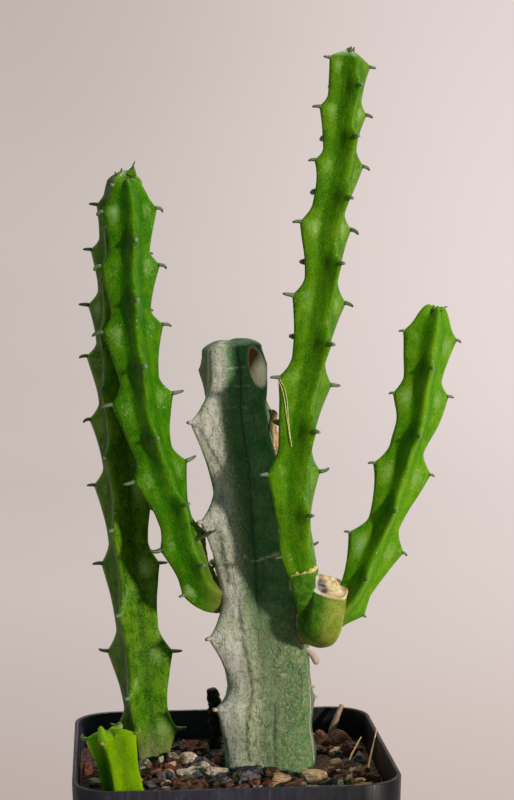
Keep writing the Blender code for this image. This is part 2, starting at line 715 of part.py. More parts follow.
def make_husk(parts):
    """A thin dry strip that lies along an angle of the main stem, just clear of it."""
    line = Centreline(MAIN_STEM.path)
    teeth = whorls(MAIN_STEM)
    rings = []
    for index in range(HUSK_RINGS):
        share = index / (HUSK_RINGS - 1)
        distance = HUSK_TOP + (HUSK_FOOT - HUSK_TOP) * share
        swell = math.sin(math.pi * (HUSK_SWELL[0] + HUSK_SWELL[1] * share))
        width = HUSK_WIDTH * (HUSK_TOP_WIDTH + (1 - HUSK_TOP_WIDTH) * swell)
        _, up, front, right = line.frame(distance)
        heading = math.radians(HUSK_ANGLE)
        outward = front * math.cos(heading) + right * math.sin(heading)
        across = up.cross(outward)
        from_rib = HUSK_ANGLE - at(MAIN_STEM.turn, distance)
        surface = max(stem_radius(MAIN_STEM, teeth, distance, from_rib + lean) for lean in HUSK_LEANS)
        inner = line.place(distance) + outward * (surface + HUSK_CLEARANCE)
        outer = inner + outward * HUSK_THICKNESS
        rings.append([(inner - across * width / 2) * MM, (outer - across * width / 2) * MM,
                      (outer + across * width / 2) * MM, (inner + across * width / 2) * MM])
    return add_part("dry_husk", loft(rings), parts)


def cut_off_top(item):
    """Saw the cut branch off along its sloping cut face."""
    bm = bmesh.new()
    bm.from_mesh(item.data)
    cut = bmesh.ops.bisect_plane(bm, geom=bm.verts[:] + bm.edges[:] + bm.faces[:],
                                 plane_co=Vector(CUT_POINT) * MM, plane_no=Vector(CUT_NORMAL),
                                 clear_outer=True)
    edges = [element for element in cut["geom_cut"] if isinstance(element, bmesh.types.BMEdge)]
    bmesh.ops.holes_fill(bm, edges=edges)
    bm.to_mesh(item.data)
    bm.free()


def build():
    clear_scene()
    parts = make_collection(OBJECT_NAME)
    cutters = make_collection("cutters")
    repeats = make_collection("repeats")
    draw = random.Random(SEED)

    make_pot(parts, cutters)
    soil = make_soil(parts, cutters, repeats, draw)

    make_stem(MAIN_STEM, parts, repeats, draw, MAIN_SIDES)
    cut_branch = make_stem(CUT_BRANCH, parts, repeats, draw)
    tall_branch = make_stem(TALL_BRANCH, parts, repeats, draw)
    right_branch = make_stem(RIGHT_BRANCH, parts, repeats, draw)
    left_branch = make_stem(LEFT_BRANCH, parts, repeats, draw)
    make_stem(REAR_STEM, parts, repeats, draw)
    make_stem(FRONT_SPROUT, parts, repeats, draw)

    cut_off_top(cut_branch)
    main_room = add_cutter("main_stem_room", stem_mesh(MAIN_STEM, MAIN_SIDES, GAP / MM), cutters)
    for branch in (cut_branch, tall_branch, right_branch, left_branch):
        apply_boolean(branch, "DIFFERENCE", cutter=main_room)
    cut_room = add_cutter("cut_branch_room", stem_mesh(CUT_BRANCH, SIDES, GAP / MM), cutters)
    for branch in (tall_branch, right_branch):
        apply_boolean(branch, "DIFFERENCE", cutter=cut_room)
    for item in (cut_branch, tall_branch, right_branch, left_branch):
        drop_scraps(item)

    make_husk(parts)
    apply_boolean(soil, "DIFFERENCE", cutter=main_room)
    for stem in (REAR_STEM, FRONT_SPROUT):
        room = add_cutter(stem.name + "_room", stem_mesh(stem, SIDES, GAP / MM), cutters)
        apply_boolean(soil, "DIFFERENCE", cutter=room)
    for name, stick in DRY_STICKS.items():
        add_part(name, stick_mesh(stick), parts)
        room = add_cutter(name + "_room", stick_mesh(stick, GAP / MM), cutters)
        apply_boolean(soil, "DIFFERENCE", cutter=room)
    drop_scraps(soil)

    bpy.data.collections.remove(repeats)


build()
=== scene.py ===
"""Looks of the potted caralluma.

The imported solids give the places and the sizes. Every stem is made again here as a fine skin on
the same centreline, with its teeth, small leaves, waxy bloom, scars and cork. The pot, the soil
and the dry bits get their finish. Lengths in the tables are millimetres, angles are degrees.
"""

import math
import random
from collections import namedtuple

import bmesh
import bpy
import numpy as np
from mathutils import Matrix, Vector, noise


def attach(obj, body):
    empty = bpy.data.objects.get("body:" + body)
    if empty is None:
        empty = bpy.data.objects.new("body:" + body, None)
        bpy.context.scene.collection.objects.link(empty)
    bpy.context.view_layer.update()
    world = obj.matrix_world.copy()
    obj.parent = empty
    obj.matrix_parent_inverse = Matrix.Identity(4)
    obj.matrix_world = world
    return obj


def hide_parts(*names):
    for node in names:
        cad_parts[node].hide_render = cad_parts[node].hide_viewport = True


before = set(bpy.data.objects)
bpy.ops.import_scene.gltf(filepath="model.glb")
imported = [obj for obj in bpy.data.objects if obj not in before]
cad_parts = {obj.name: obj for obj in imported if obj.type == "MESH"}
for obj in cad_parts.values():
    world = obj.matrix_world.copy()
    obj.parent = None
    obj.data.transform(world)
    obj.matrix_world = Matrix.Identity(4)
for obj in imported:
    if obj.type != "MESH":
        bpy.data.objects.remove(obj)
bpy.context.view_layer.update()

MM = 0.001
SEED = 11
BODY = "root"
MERGE = 1e-6
# Farther than any two points of the plant that a mask compares
FAR = 99.0
BLACK = (0.0, 0.0, 0.0, 1.0)

# Pot
POT_HEIGHT = 72
RIM_WIDTH = 75
BAND_HEIGHT = 12
BAND_FOOT_WIDTH = 74.4
BODY_TOP_WIDTH = 72
BASE_WIDTH = 56
WALL = 1.0
FLOOR = 1.4
RIM_CORNER_RADIUS = 10
CORNER_SEGMENTS = 12
LIP_ROUND = 0.35
LIP_STEPS = 6
DRAIN_RADIUS = 4
DRAIN_OFFSET = 16
DRAIN_SIDES = 40
DRAIN_CUT = 6

# Soil
SOIL_LEVEL = 64.4
SOIL_BLOCK_TOP = 70
AIR_TOP = 74
SOIL_SIDE_GAP = 0.45
MOUND_CENTRE = (9, 8)
MOUND_HEIGHT = 1.1
MOUND_SPREAD = 15
LUMP_HEIGHT = 0.9
LUMP_FREQUENCY = 0.21
GRIT_HEIGHT = 0.35
GRIT_FREQUENCY = 0.9
TERRAIN_CELLS = 90

# Chips and grit
SCATTERED_CHIPS = 250
CHIP_REACH = 31.0
CHIP_CORNER = 25.0
CHIP_LENGTHS = (2.0, 6.2)
CHIP_WIDTH_SHARES = (0.3, 0.75)
CHIP_HEIGHTS = (1.2, 2.8)
CHIP_LIFT = 0.12
CHIP_TILT = 38.0
LUMP_SHARE = 0.25
CHIP_FINENESS = 3
LUMP_CURVE = 2.6
BLOCK_CURVE = 9.0
GRIT_STONES = 420
GRIT_FINENESS = 1
GRIT_SIZES = (0.5, 1.7)
GRIT_REACH = 35
GRIT_CORNER = 29
GRIT_LENGTH_SHARES = (0.9, 1.5)
GRIT_HEIGHT_SHARES = (0.6, 1.0)

# Stem surface
SHOULDER_SHARE = 0.53
LEAST_SHOULDER = 2.0
SHOULDER_CURVE = 1.55
TAPER_SHARE = 1.5
LEAST_TAPER = 3.0
TAPER_CURVE = 1.5
TOOTH_HALF_WIDTH = 40.0
TOOTH_SIDE_CURVE = 1.5
TOOTH_EDGE_CURVE = 1.1
END_GAP = 6.0
FOOT_GAPS = {"right_branch": 3.0}
TIP_TOOTH_SHARE = 0.8
DIRECTION_REACH = 1.5
PATH_SAMPLES = 24
EDGE_ROUND = 9.0
GROOVE_DEEPER = 0.02
RING_STEP = 0.38
FINE_RING_STEP = 0.25
TIP_RINGS = 8
TIP_LEAN_REACH = 9
SKIN_WOBBLE = 0.16
SKIN_WOBBLE_SIZE = 6.0
JOINT_REACH = {"left_branch": 3.4}
LEAST_JOINT_REACH = 0.8
JOINT_LENGTH = 30
CUT_FACE_CLEARANCE = 0.5

# Marks on every skin: how far the painted groove shade and the crest reach aside of a rib,
# the wax beside each tooth, and the painted shadow beside each front tooth
GROOVE_SHADE_WIDTH = 13
CREST_WIDTH = 7
BLOOM_STRENGTHS = (0.45, 1.0)
FRONT_BLOOM = 0.25
BLOOM_SHIFTS = (-0.4, 1.6)
BLOOM_UP_SHARE = 0.7
BLOOM_REACHES = (2.5, 4.5)
BLOOM_ASIDE = 20
BLOOM_WIDTH = 16
SHADE_ASIDE = -21
SHADE_WIDTH = 11
SHADE_SHIFT = 0.4
SHADE_REACH = 2.2

# A stem is described from its tip down. path is its centreline, rib its radius at the four
# angles, groove the share of that radius between them, turn the angle of its front rib towards
# the viewer's right, and tip the length of the rounded end. sides are the distances from the tip
# of its side pairs of teeth, teeth their height, and share the part of that height on the front,
# right, back and left rib. hook is the length of the leaf on a tooth, and rise how far its end
# lifts. Any of them but path, tip and sides may be one number, or pairs of a distance and a number.
Stem = namedtuple("Stem", "name path rib groove turn tip sides teeth share hook rise",
                  defaults=((), 0.0, (1.0, 1.0, 1.0, 1.0), 0.0, 0.0))

MAIN_STEM = Stem(
    name="main_stem",
    path=((1.7, 13.5, 169.1), (2.8, 13.2, 159.3), (3.2, 12.9, 151.5), (4.6, 12.5, 141.0),
          (6.2, 12.1, 129.9), (7.6, 11.8, 118.8), (8.7, 11.5, 105.2), (10.1, 11.3, 92.7),
          (10.6, 11.2, 82.7), (10.2, 11.1, 74.0), (10.9, 11.0, 64.4), (11.2, 11.0, 50.0)),
    rib=((0, 8.0), (4, 8.8), (12, 9.2), (25, 10.0), (36, 10.5), (54, 11.4), (84, 12.4), (99, 13.3),
         (105, 13.6), (120, 12.0)),
    groove=((0, 0.78), (40, 0.78), (90, 0.84)),
    turn=((0, 55), (8, 50), (18, 37), (105, 37)),
    tip=2.0,
    sides=(18.3, 41.8, 70.0, 90.0),
    teeth=((6, 5.3), (18, 5.4), (42, 5.8), (70, 6.0), (90, 4.8)),
    share=(((7, 0.2), (30, 0.35)), ((18, 0.25), (42, 0.6)), ((7, 0.35), (18, 0.3), (30, 0.0), (50, 1.0)),
           1.0),
    hook=((0, 0.0), (12, 0.0), (15, 0.9), (120, 0.9)),
)
CUT_BRANCH = Stem(
    name="cut_branch",
    path=((24.2, -5.8, 116.5), (23.6, -5.9, 111.6), (23.0, -6.2, 106.8), (22.4, -5.7, 103.0),
          (22.0, -2.4, 101.1), (20.3, 5.0, 100.3)),
    rib=((0, 5.1), (5, 5.3), (9, 5.0), (13, 5.0), (18, 5.1), (30, 4.9)),
    groove=0.9,
    turn=40,
    tip=1.0,
)
TALL_BRANCH = Stem(
    name="tall_branch",
    path=((28.9, -5.0, 237.6), (28.0, -5.2, 229.3), (26.7, -5.5, 218.9), (26.0, -5.8, 209.2),
          (23.2, -6.2, 198.0), (22.0, -6.6, 185.2), (20.5, -7.0, 174.7), (17.6, -7.3, 158.8),
          (15.6, -7.5, 146.6), (15.0, -7.4, 132.4), (15.5, -7.1, 122.8), (17.4, -6.7, 115.1),
          (20.0, -5.6, 109.0)),
    rib=((0, 4.5), (10, 4.6), (60, 4.75), (100, 4.75), (116, 4.5), (124, 4.0), (132, 3.4)),
    groove=((0, 0.68), (60, 0.72), (95, 0.78), (125, 0.84)),
    turn=((0, 24), (30, 29), (131, 31)),
    tip=2.4,
    sides=(2.6, 14.3, 26.5, 41.4, 58.6, 78.1, 99.9, 118.5),
    teeth=((2, 1.5), (14, 2.0), (27, 2.4), (41, 2.8), (59, 3.1), (100, 3.1), (110, 2.4), (118, 0.8)),
    share=(1.0, 1.0, 0.85, ((2, 0.45), (14, 1.0))),
    hook=((0, 1.4), (14, 2.0), (60, 2.5), (110, 2.5), (118, 1.6)),
    rise=((0, -0.1), (30, -0.3), (60, -0.1), (118, 0.15)),
)
RIGHT_BRANCH = Stem(
    name="right_branch",
    path=((49.1, -4.5, 176.9), (47.3, -4.4, 167.3), (46.0, -4.3, 159.0), (45.1, -4.2, 151.1),
          (42.5, -4.1, 144.0), (40.6, -4.0, 136.3), (37.7, -3.9, 128.0), (34.1, -3.8, 118.9),
          (31.3, -3.7, 112.3), (28.9, -3.2, 107.9), (26.0, -2.4, 104.4), (23.0, -1.5, 101.8)),
    rib=((0, 4.4), (6, 4.9), (12, 4.9), (30, 4.3), (51, 3.9), (68, 4.1), (74, 3.8), (80, 3.2), (86, 2.8)),
    groove=((0, 0.68), (60, 0.7)),
    turn=((0, 8), (83, 0)),
    tip=4.2,
    sides=(6.3, 20.5, 38.8, 57.5, 73.8),
    teeth=((6, 1.9), (20, 2.3), (39, 3.1), (57, 3.3), (67, 2.2), (74, 1.6)),
    hook=((0, 1.2), (60, 1.2), (74, 0.5)),
    rise=-0.2,
)
LEFT_BRANCH = Stem(
    name="left_branch",
    path=((-23.3, 1.0, 207.7), (-22.6, 1.4, 199.5), (-22.7, 1.9, 188.9), (-22.5, 2.5, 177.1),
          (-21.3, 3.2, 165.2), (-18.8, 4.0, 148.3), (-15.3, 4.5, 136.1), (-11.8, 4.6, 124.6),
          (-9.3, 4.8, 117.3), (-7.3, 6.2, 111.6), (-4.2, 8.0, 107.9), (0.4, 9.6, 106.6)),
    rib=((0, 4.6), (7, 4.9), (30, 4.9), (60, 4.8), (80, 4.6), (94, 4.5), (104, 4.4), (112, 4.0)),
    groove=((0, 0.66), (60, 0.7), (110, 0.8)),
    turn=((0, 10), (63, 13), (79, 32), (90, 26), (110, 26)),
    tip=5.0,
    sides=(7.0, 20.1, 35.0, 52.1, 70.2, 87.8, 99.0),
    teeth=((7, 1.8), (20, 2.4), (35, 2.7), (52, 3.0), (70, 2.8), (88, 2.1), (99, 0.8)),
    hook=((0, 1.6), (20, 2.2), (60, 2.5), (90, 2.8), (99, 1.2)),
    rise=((0, -0.7), (35, -0.3), (60, 0.1), (99, 0.3)),
)
REAR_STEM = Stem(
    name="rear_stem",
    path=((-23.0, 18.0, 210.5), (-24.8, 18.2, 198.4), (-25.7, 18.6, 181.3), (-26.2, 18.9, 166.6),
          (-25.6, 19.2, 151.8), (-24.7, 19.5, 136.9), (-23.6, 19.9, 119.4), (-21.8, 20.3, 99.1),
          (-20.1, 20.7, 81.3), (-18.8, 21.0, 64.1), (-18.2, 21.2, 54.0)),
    rib=((0, 4.6), (8, 5.2), (60, 5.3), (100, 5.5), (125, 6.0), (140, 6.0), (147, 5.0), (157, 4.4)),
    groove=((0, 0.68), (100, 0.72), (150, 0.8)),
    turn=-28,
    tip=2.6,
    sides=(9.2, 19.8, 33.4, 45.6, 61.1, 77.6, 97.2, 119.6, 139.2),
    teeth=((4, 1.0), (9, 1.6), (20, 2.4), (46, 2.9), (78, 3.1), (97, 2.8), (120, 3.4), (139, 2.5)),
    hook=((0, 1.6), (20, 2.3), (157, 2.4)),
    rise=((0, 0.2), (20, -0.1), (60, -0.2), (157, 0.2)),
)
FRONT_SPROUT = Stem(
    name="front_sprout",
    path=((-28.8, -15.2, 80.2), (-28.2, -15.2, 77.0), (-27.2, -15.0, 73.0), (-25.9, -14.6, 65.5),
          (-25.2, -14.4, 56.0)),
    rib=((0, 3.8), (3, 4.3), (9, 4.8), (17, 5.2), (26, 4.8)),
    groove=0.66,
    turn=-18,
    tip=1.2,
    sides=(1.2,),
    teeth=2.4,
    hook=2.2,
    rise=1.1,
)

# Old base of the tall branch, which ends in a ragged line of callus
BRANCH_SEAT = Stem(
    name="branch_seat",
    path=((17.3, -6.9, 116.4), (17.3, -6.9, 113.6), (17.7, -6.3, 110.5), (18.9, -4.1, 107.0),
          (20.6, -0.6, 103.6)),
    rib=((0, 3.8), (0.8, 4.0), (2, 3.7), (4.5, 3.3), (7, 3.3), (10, 3.7), (15, 4.0)),
    groove=0.86,
    turn=31,
    tip=0.7,
)
TALL_BRANCH_END = 114.2
SEAT_SLANT = 0.35
SEAT_SIDES = 64

# Marks on the main stem: lines through (distance from the tip, angle), with a width and a strength
MARK_RADIUS = 10.5
CRACKS = (
    (((0.8, 12), (13.2, 6), (21.6, 4), (31.3, 4), (38.5, -2), (46, -6), (55, -8), (66, -10)), 0.34),
    (((64.8, -33), (74.1, -32), (84.3, -28), (92, -30), (101, -31)), 0.3),
    (((45.0, -43), (52.0, -45), (58.0, -44)), 0.42),
    (((88, 2), (95, 4), (103, 1)), 0.3),
    (((18.5, -50), (24, -46), (30, -40)), 0.22),
)
PALE_LINES = (
    (((6.0, -38), (6.7, 20)), 0.16, 0.5),
    (((10.5, -40), (11.0, 24)), 0.16, 0.5),
    (((16.2, -28), (16.0, 16)), 0.14, 0.5),
    (((53.6, -12), (52.4, 14), (51.8, 30)), 0.24, 0.9),
    (((52.0, -22.5), (52.0, -22)), 0.4, 1.0),
    (((88.8, -34.5), (88.8, -34)), 0.45, 1.0),
    (((81.3, 14.5), (81.3, 15)), 0.45, 1.0),
    (((97.6, -51.5), (97.6, -51)), 0.45, 1.0),
)
# The scar glows a little: painted light that brightens it in the shadow of the tall branch
SCAR_PAINTED_LIGHT = 0.14
CORK_EDGE = ((82, 50), (96, 62), (108, 62))
# The cork's middle, and how far it swings over towards the top
CORK_ANGLE = -62
CORK_TWIST = 22
# Round marks: distance and angle, and how far each reaches along and around
SCAR = (6.8, 39, 4.8, 12)
KNOT = (59.8, 36.5, 1.7, 5)
MOSS = ((96, 34, 9, 12), (84, 46, 6, 8), (50, -46, 7, 4), (103, 12, 5, 14))

# Cut face of the cut branch
CUT_POINT = (23.6, -5.4, 111.6)
CUT_NORMAL = (0.22, -0.36, 0.9)
CUT_REACH = 20
CUT_SAMPLES = 400
CUT_MIDDLE = 5.0
CUT_RINGS = 14
SKIN_RINGS = 70
CUT_SIDES = 84

# Leaf on a tooth
LEAF_SIDES = 8
LEAF_RINGS = 10
LEAF_WIDTH = 0.3
LEAF_WIDTH_GAIN = 0.16
LEAF_END_SHARE = 0.62
LEAF_FLATNESS = 0.75
LEAF_SUNK = 0.6
LEAF_LENGTH_SPREAD = 0.15
LEAF_BEND = 190.0
LEAF_BEND_SPREAD = 25.0
LEAST_BEND = -100.0
FRONT_LEAF_SHARE = 0.5
FRONT_LEAF_DRYNESS = 0.6
FRONT_LEAF_BROWN = -0.5
BACK_LEAF_SHARE = 0.85
BACK_LEAF_WIDTH = 1.6
LEAST_LEAFY_SHARE = 0.4

# A leaf or horn beside a tip: where it stands, how far it leans from outward, 0, to up the stem, 1,
# its length and half width, its bend, how brown it is, the share of its width at its end, and which
# of the piece's materials
Horn = namedtuple("Horn", "place angle direction length width bend brown end material",
                  defaults=(0.7, LEAF_END_SHARE, 1))
MAIN_STEM_HORNS = ((77.2, 72, -3.0, 4.7, 0.85, -50, -0.4, 1.8), (85.5, 66, 0.0, 1.3, 0.7, 0, -0.4))
TALL_BRANCH_HORNS = ((0.3, 10, 0.8, 1.0, 0.3, 30), (0.4, 60, 0.85, 1.2, 0.3, -30),
                     (0.5, -20, 0.8, 0.9, 0.3, 20), (0.4, 120, 0.8, 1.0, 0.28, 30),
                     (0.5, 200, 0.8, 0.9, 0.3, 40))
RIGHT_BRANCH_HORNS = ((0.8, 60, 0.8, 1.2, 0.34, -60, 0.2), (1.0, 110, 0.6, 1.4, 0.34, -50, 0.2),
                      (0.8, -30, 0.8, 1.0, 0.3, 40, 0.4))
LEFT_BRANCH_HORNS = ((0.3, -10, 0.9, 0.9, 0.3, 20), (0.4, 30, 0.9, 0.8, 0.3, -20),
                     (88.6, 66, 0.1, 6.4, 0.62, 8, -0.2))
REAR_STEM_HORNS = ((0.8, 40, 0.92, 2.2, 1.5, -8, -1.0, 0.1, 0), (0.6, 44, 0.95, 3.3, 0.3, -24, -0.2),
                   (0.5, -50, 0.8, 1.0, 0.3, 30), (1.2, -80, 0.6, 1.0, 0.3, 30))
FRONT_SPROUT_HORNS = ((0.9, -16, 0.92, 3.9, 1.35, -6, -1.0, 0.5, 0), (0.9, 30, 0.7, 1.5, 0.4, -60, 0.0))

# Masks kept at a stem's points for its skin, and its points as they would lie on a straight stem
MASKS = ("groove", "crest", "bloom", "joint", "cork", "scar", "stain", "leaf", "dry", "crack", "moss",
         "pale")
STRAIGHT = "straight"

# Loose dry bits: points along each with the radius there
WITHERED_TWIG = (((-2.0, 25.2, 58.0), 1.5), ((-2.2, 25.0, 68.0), 1.6), ((-1.7, 25.0, 73.0), 1.3),
                 ((-2.3, 24.9, 77.0), 2.0), ((-3.0, 24.8, 80.2), 1.2))
WOOD_SLIVER = (((26.6, 28.8, 61.5), 0.9), ((28.6, 30.6, 68.0), 0.9), ((31.2, 33.2, 73.2), 0.6))
LONG_STRAW = (((28.4, 9.4, 60.5), 0.24), ((30.8, 11.0, 65.6), 0.24), ((33.7, 14.0, 69.6), 0.16))
SHORT_STRAW = (((33.0, 3.6, 59.0), 0.22), ((34.7, 4.6, 66.5), 0.2), ((36.7, 5.8, 74.4), 0.13))
STICK_RINGS = 48
STICK_DIRECTION_REACH = 0.5

# Thread on the tall branch: distance and angle of its points, and how far its two strands part
THREAD_ROUTE = ((77.0, -68), (78.4, -59), (80.3, -55), (83.0, -50), (86.3, -43), (90.0, -31), (93.4, -17))
THREAD_SPREAD = 4.0
THREAD_LIFT = 0.4
THREAD_RADIUS = 0.085
THREAD_RINGS = 60

# Dried husk: it lies along the main stem's front right angle
HUSK_TOP = 17.5
HUSK_FOOT = 31.0
HUSK_ANGLE = 59.0
HUSK_TURN = -13.0
HUSK_WIDTH = 3.0
HUSK_END_SHARE = 0.12
HUSK_CUP = 5.2
HUSK_CURL = 0.35
HUSK_TOP_CURL = 1.6
HUSK_WAVE = 0.3
HUSK_THICKNESS = 0.25
HUSK_CLEARANCE = 0.5
HUSK_ROWS = 46
HUSK_COLUMNS = 14

# Chips that show: middle x and y, length, width and height, turn, whether round, and what it is
Chip = namedtuple("Chip", "x y length width height turn lump kind")
SHOWN_CHIPS = (
    (-9.2, 10.6, 5.2, 4.2, 5.2, 10, True, "pumice"),
    (-6.0, 4.1, 2.6, 2.4, 3.6, 30, True, "pumice"),
    (-2.8, 8.4, 2.8, 2.6, 3.0, 0, True, "lava"),
    (-34.0, 5.1, 2.4, 3.4, 4.6, 0, True, "lava"),
    (-13.4, -10.6, 2.0, 1.8, 5.6, 12, False, "bark"),
    (4.6, -2.2, 6.0, 3.4, 3.6, -14, False, "slate"),
    (-2.9, -9.4, 5.0, 2.6, 4.2, -24, False, "slate"),
    (3.4, -7.8, 5.4, 3.0, 4.4, 12, False, "slate"),
    (11.4, -9.8, 4.6, 3.0, 4.8, 4, False, "fibre"),
    (19.4, -9.2, 5.8, 2.8, 4.6, -26, False, "fibre"),
    (26.2, 1.8, 3.3, 3.0, 3.9, 20, True, "fibre"),
    (28.1, -11.2, 3.0, 1.6, 4.0, 70, False, "fibre"),
    (24.0, 22.6, 4.6, 3.4, 6.4, -60, False, "bark"),
    (30.2, 24.4, 6.2, 4.4, 6.2, 15, True, "bark"),
    (-30.4, -2.6, 3.6, 2.8, 2.6, 40, False, "bark"),
    (31.4, -4.0, 4.4, 3.0, 4.2, 50, False, "bark"),
    (33.2, -10.5, 3.6, 2.4, 3.6, -20, False, "bark"),
    (32.6, 9.4, 4.4, 3.0, 3.6, 70, False, "slate"),
    (31.6, 16.6, 4.8, 3.4, 4.6, 20, False, "bark"),
    (25.2, -13.2, 1.8, 1.4, 3.4, 10, True, "pumice"),
    (23.4, -4.6, 3.4, 2.6, 4.0, 40, False, "bark"),
)
CHIP_KINDS = ("bark", "fibre", "slate", "bark", "lava", "slate", "bark", "pumice", "bark", "slate")
# Where scattered chips stay away from what stands in the soil: middle x and y, and distance
CLEARINGS = ((10.9, 11.0, 11.5), (-18.8, 21.0, 5.5), (-25.9, -14.6, 5.0), (27.5, 10.5, 2.5),
             (34.2, 4.2, 2.0), (27.5, 29.5, 3.0), (-1.8, 25.1, 3.5))

# Camera: its place, the angles it is turned by, and its lens and sensor
CAMERA_PLACE = (-29.479, -476.163, 197.045)
CAMERA_YAW = -4.396
CAMERA_PITCH = -4.969
CAMERA_ROLL = -0.356
LENS = 90.72
SENSOR = 36

# Light: where the sun stands, seen from the plant, and how strong it and the fill are. The places
# and sizes of the stage and the top light are metres.
SUN_AZIMUTH = 38.5
SUN_HEIGHT = 13.0
SUN_STRENGTH = 3.1
SUN_ANGLE = 4.5
SUN_COLOUR = (1.0, 0.96, 0.9)
SHADE_COLOUR = (0.055, 0.188, 0.156)
TOP_LIGHT_PLACE = (0.12, 0.42, 0.9)
TOP_LIGHT_SIZE = 0.3
TOP_LIGHT_POWER = 4.4
TOP_LIGHT_COLOUR = (1.0, 0.95, 0.86)
BACKDROP_COLOUR = (0.56, 0.5, 0.47)
STAGE_HALF_WIDTH = 4.0
STAGE_TOP = 5.0
SWEEP_START = 1.1
SWEEP_RADIUS = 0.8
SWEEP_STEPS = 16
STAGE_GLOW = 0.95

draw = random.Random(SEED)


def colour(red, green, blue):
    """A colour given in steps of 0 to 255, as a shader's linear colour."""
    shares = [step / 255 for step in (red, green, blue)]
    linear = [x / 12.92 if x <= 0.04045 else ((x + 0.055) / 1.055) ** 2.4 for x in shares]
    return (*linear, 1.0)


# Shapes

def read(entry, distance):
    """A number as it is, or a table of (distance, value) pairs read between its entries."""
    if not isinstance(entry, tuple):
        return entry
    distances, values = zip(*entry)
    return np.interp(distance, distances, values)


def unit(vectors):
    """Vectors made one long."""
    return vectors / np.linalg.norm(vectors, axis=-1, keepdims=True)


def gauss(values):
    """A soft spot: 1 at 0, less than half at 1 and next to nothing at 2."""
    return np.exp(-values * values)


def ramp(values, start, end):
    """0 at start and before, 1 at end and beyond."""
    return np.clip((values - start) / (end - start), 0, 1)


def rough(points, size, offset=0.0):
    """Smooth noise between -1 and 1 at points, with lumps of about that size."""
    return np.array([noise.noise(Vector(point) / size + Vector((offset, 0, 0))) for point in points])


def along_curve(curve, distances, distance):
    """Points of a curve at some distance along it."""
    axes = [np.interp(distance, distances, axis) for axis in curve.T]
    return np.stack(axes, axis=-1)


def unrolled(radius, heading, distance):
    """Where points would lie if their stem were straight."""
    return np.stack([radius * np.cos(heading), radius * np.sin(heading), distance], axis=1)


def smooth_path(path):
    """Points of a smooth curve through a path, and how far along it each one lies."""
    points = np.array(path, float)
    knots = np.vstack([2 * points[0] - points[1], points, 2 * points[-1] - points[-2]])
    curve = [points[0]]
    for before, start, end, after in zip(knots, knots[1:], knots[2:], knots[3:]):
        for sample in range(1, PATH_SAMPLES + 1):
            t = sample / PATH_SAMPLES
            curve.append(0.5 * (2 * start + (end - before) * t
                                + (2 * before - 5 * start + 4 * end - after) * t ** 2
                                + (3 * start - before - 3 * end + after) * t ** 3))
    curve = np.array(curve)
    steps = np.linalg.norm(np.diff(curve, axis=0), axis=1)
    return curve, np.concatenate([[0.0], np.cumsum(steps)])


def whorls(stem):
    """Distance of each opposite pair of teeth, its two ribs, and its reach up and down the stem."""
    sides = stem.sides
    pairs = [(distance, (1, 3)) for distance in sides]
    pairs += [((above + below) / 2, (0, 2)) for above, below in zip(sides, sides[1:])]
    if len(sides) == 1:
        pairs.append((sides[0], (0, 2)))
    elif sides:
        first = sides[0] - (sides[1] - sides[0]) / 2
        if first > stem.tip * TIP_TOOTH_SHARE:
            pairs.append((first, (0, 2)))
    pairs.sort()
    found = []
    for index, (distance, ribs) in enumerate(pairs):
        above = pairs[index - 1][0] if index else distance - END_GAP
        foot_gap = FOOT_GAPS.get(stem.name, END_GAP)
        below = pairs[index + 1][0] if index + 1 < len(pairs) else distance + foot_gap
        shoulder = max(SHOULDER_SHARE * (distance - above), LEAST_SHOULDER)
        taper = max(TAPER_SHARE * (below - distance), LEAST_TAPER)
        found.append((distance, ribs, shoulder, taper))
    return found


def tooth_profile(offset, shoulder, taper):
    """Height of a tooth above or below its point, as a share of its full height."""
    above = np.clip(1 + offset / shoulder, 0, 1) ** SHOULDER_CURVE
    below = np.clip(1 - offset / taper, 0, 1) ** TAPER_CURVE
    return np.where(offset <= 0, above, below)


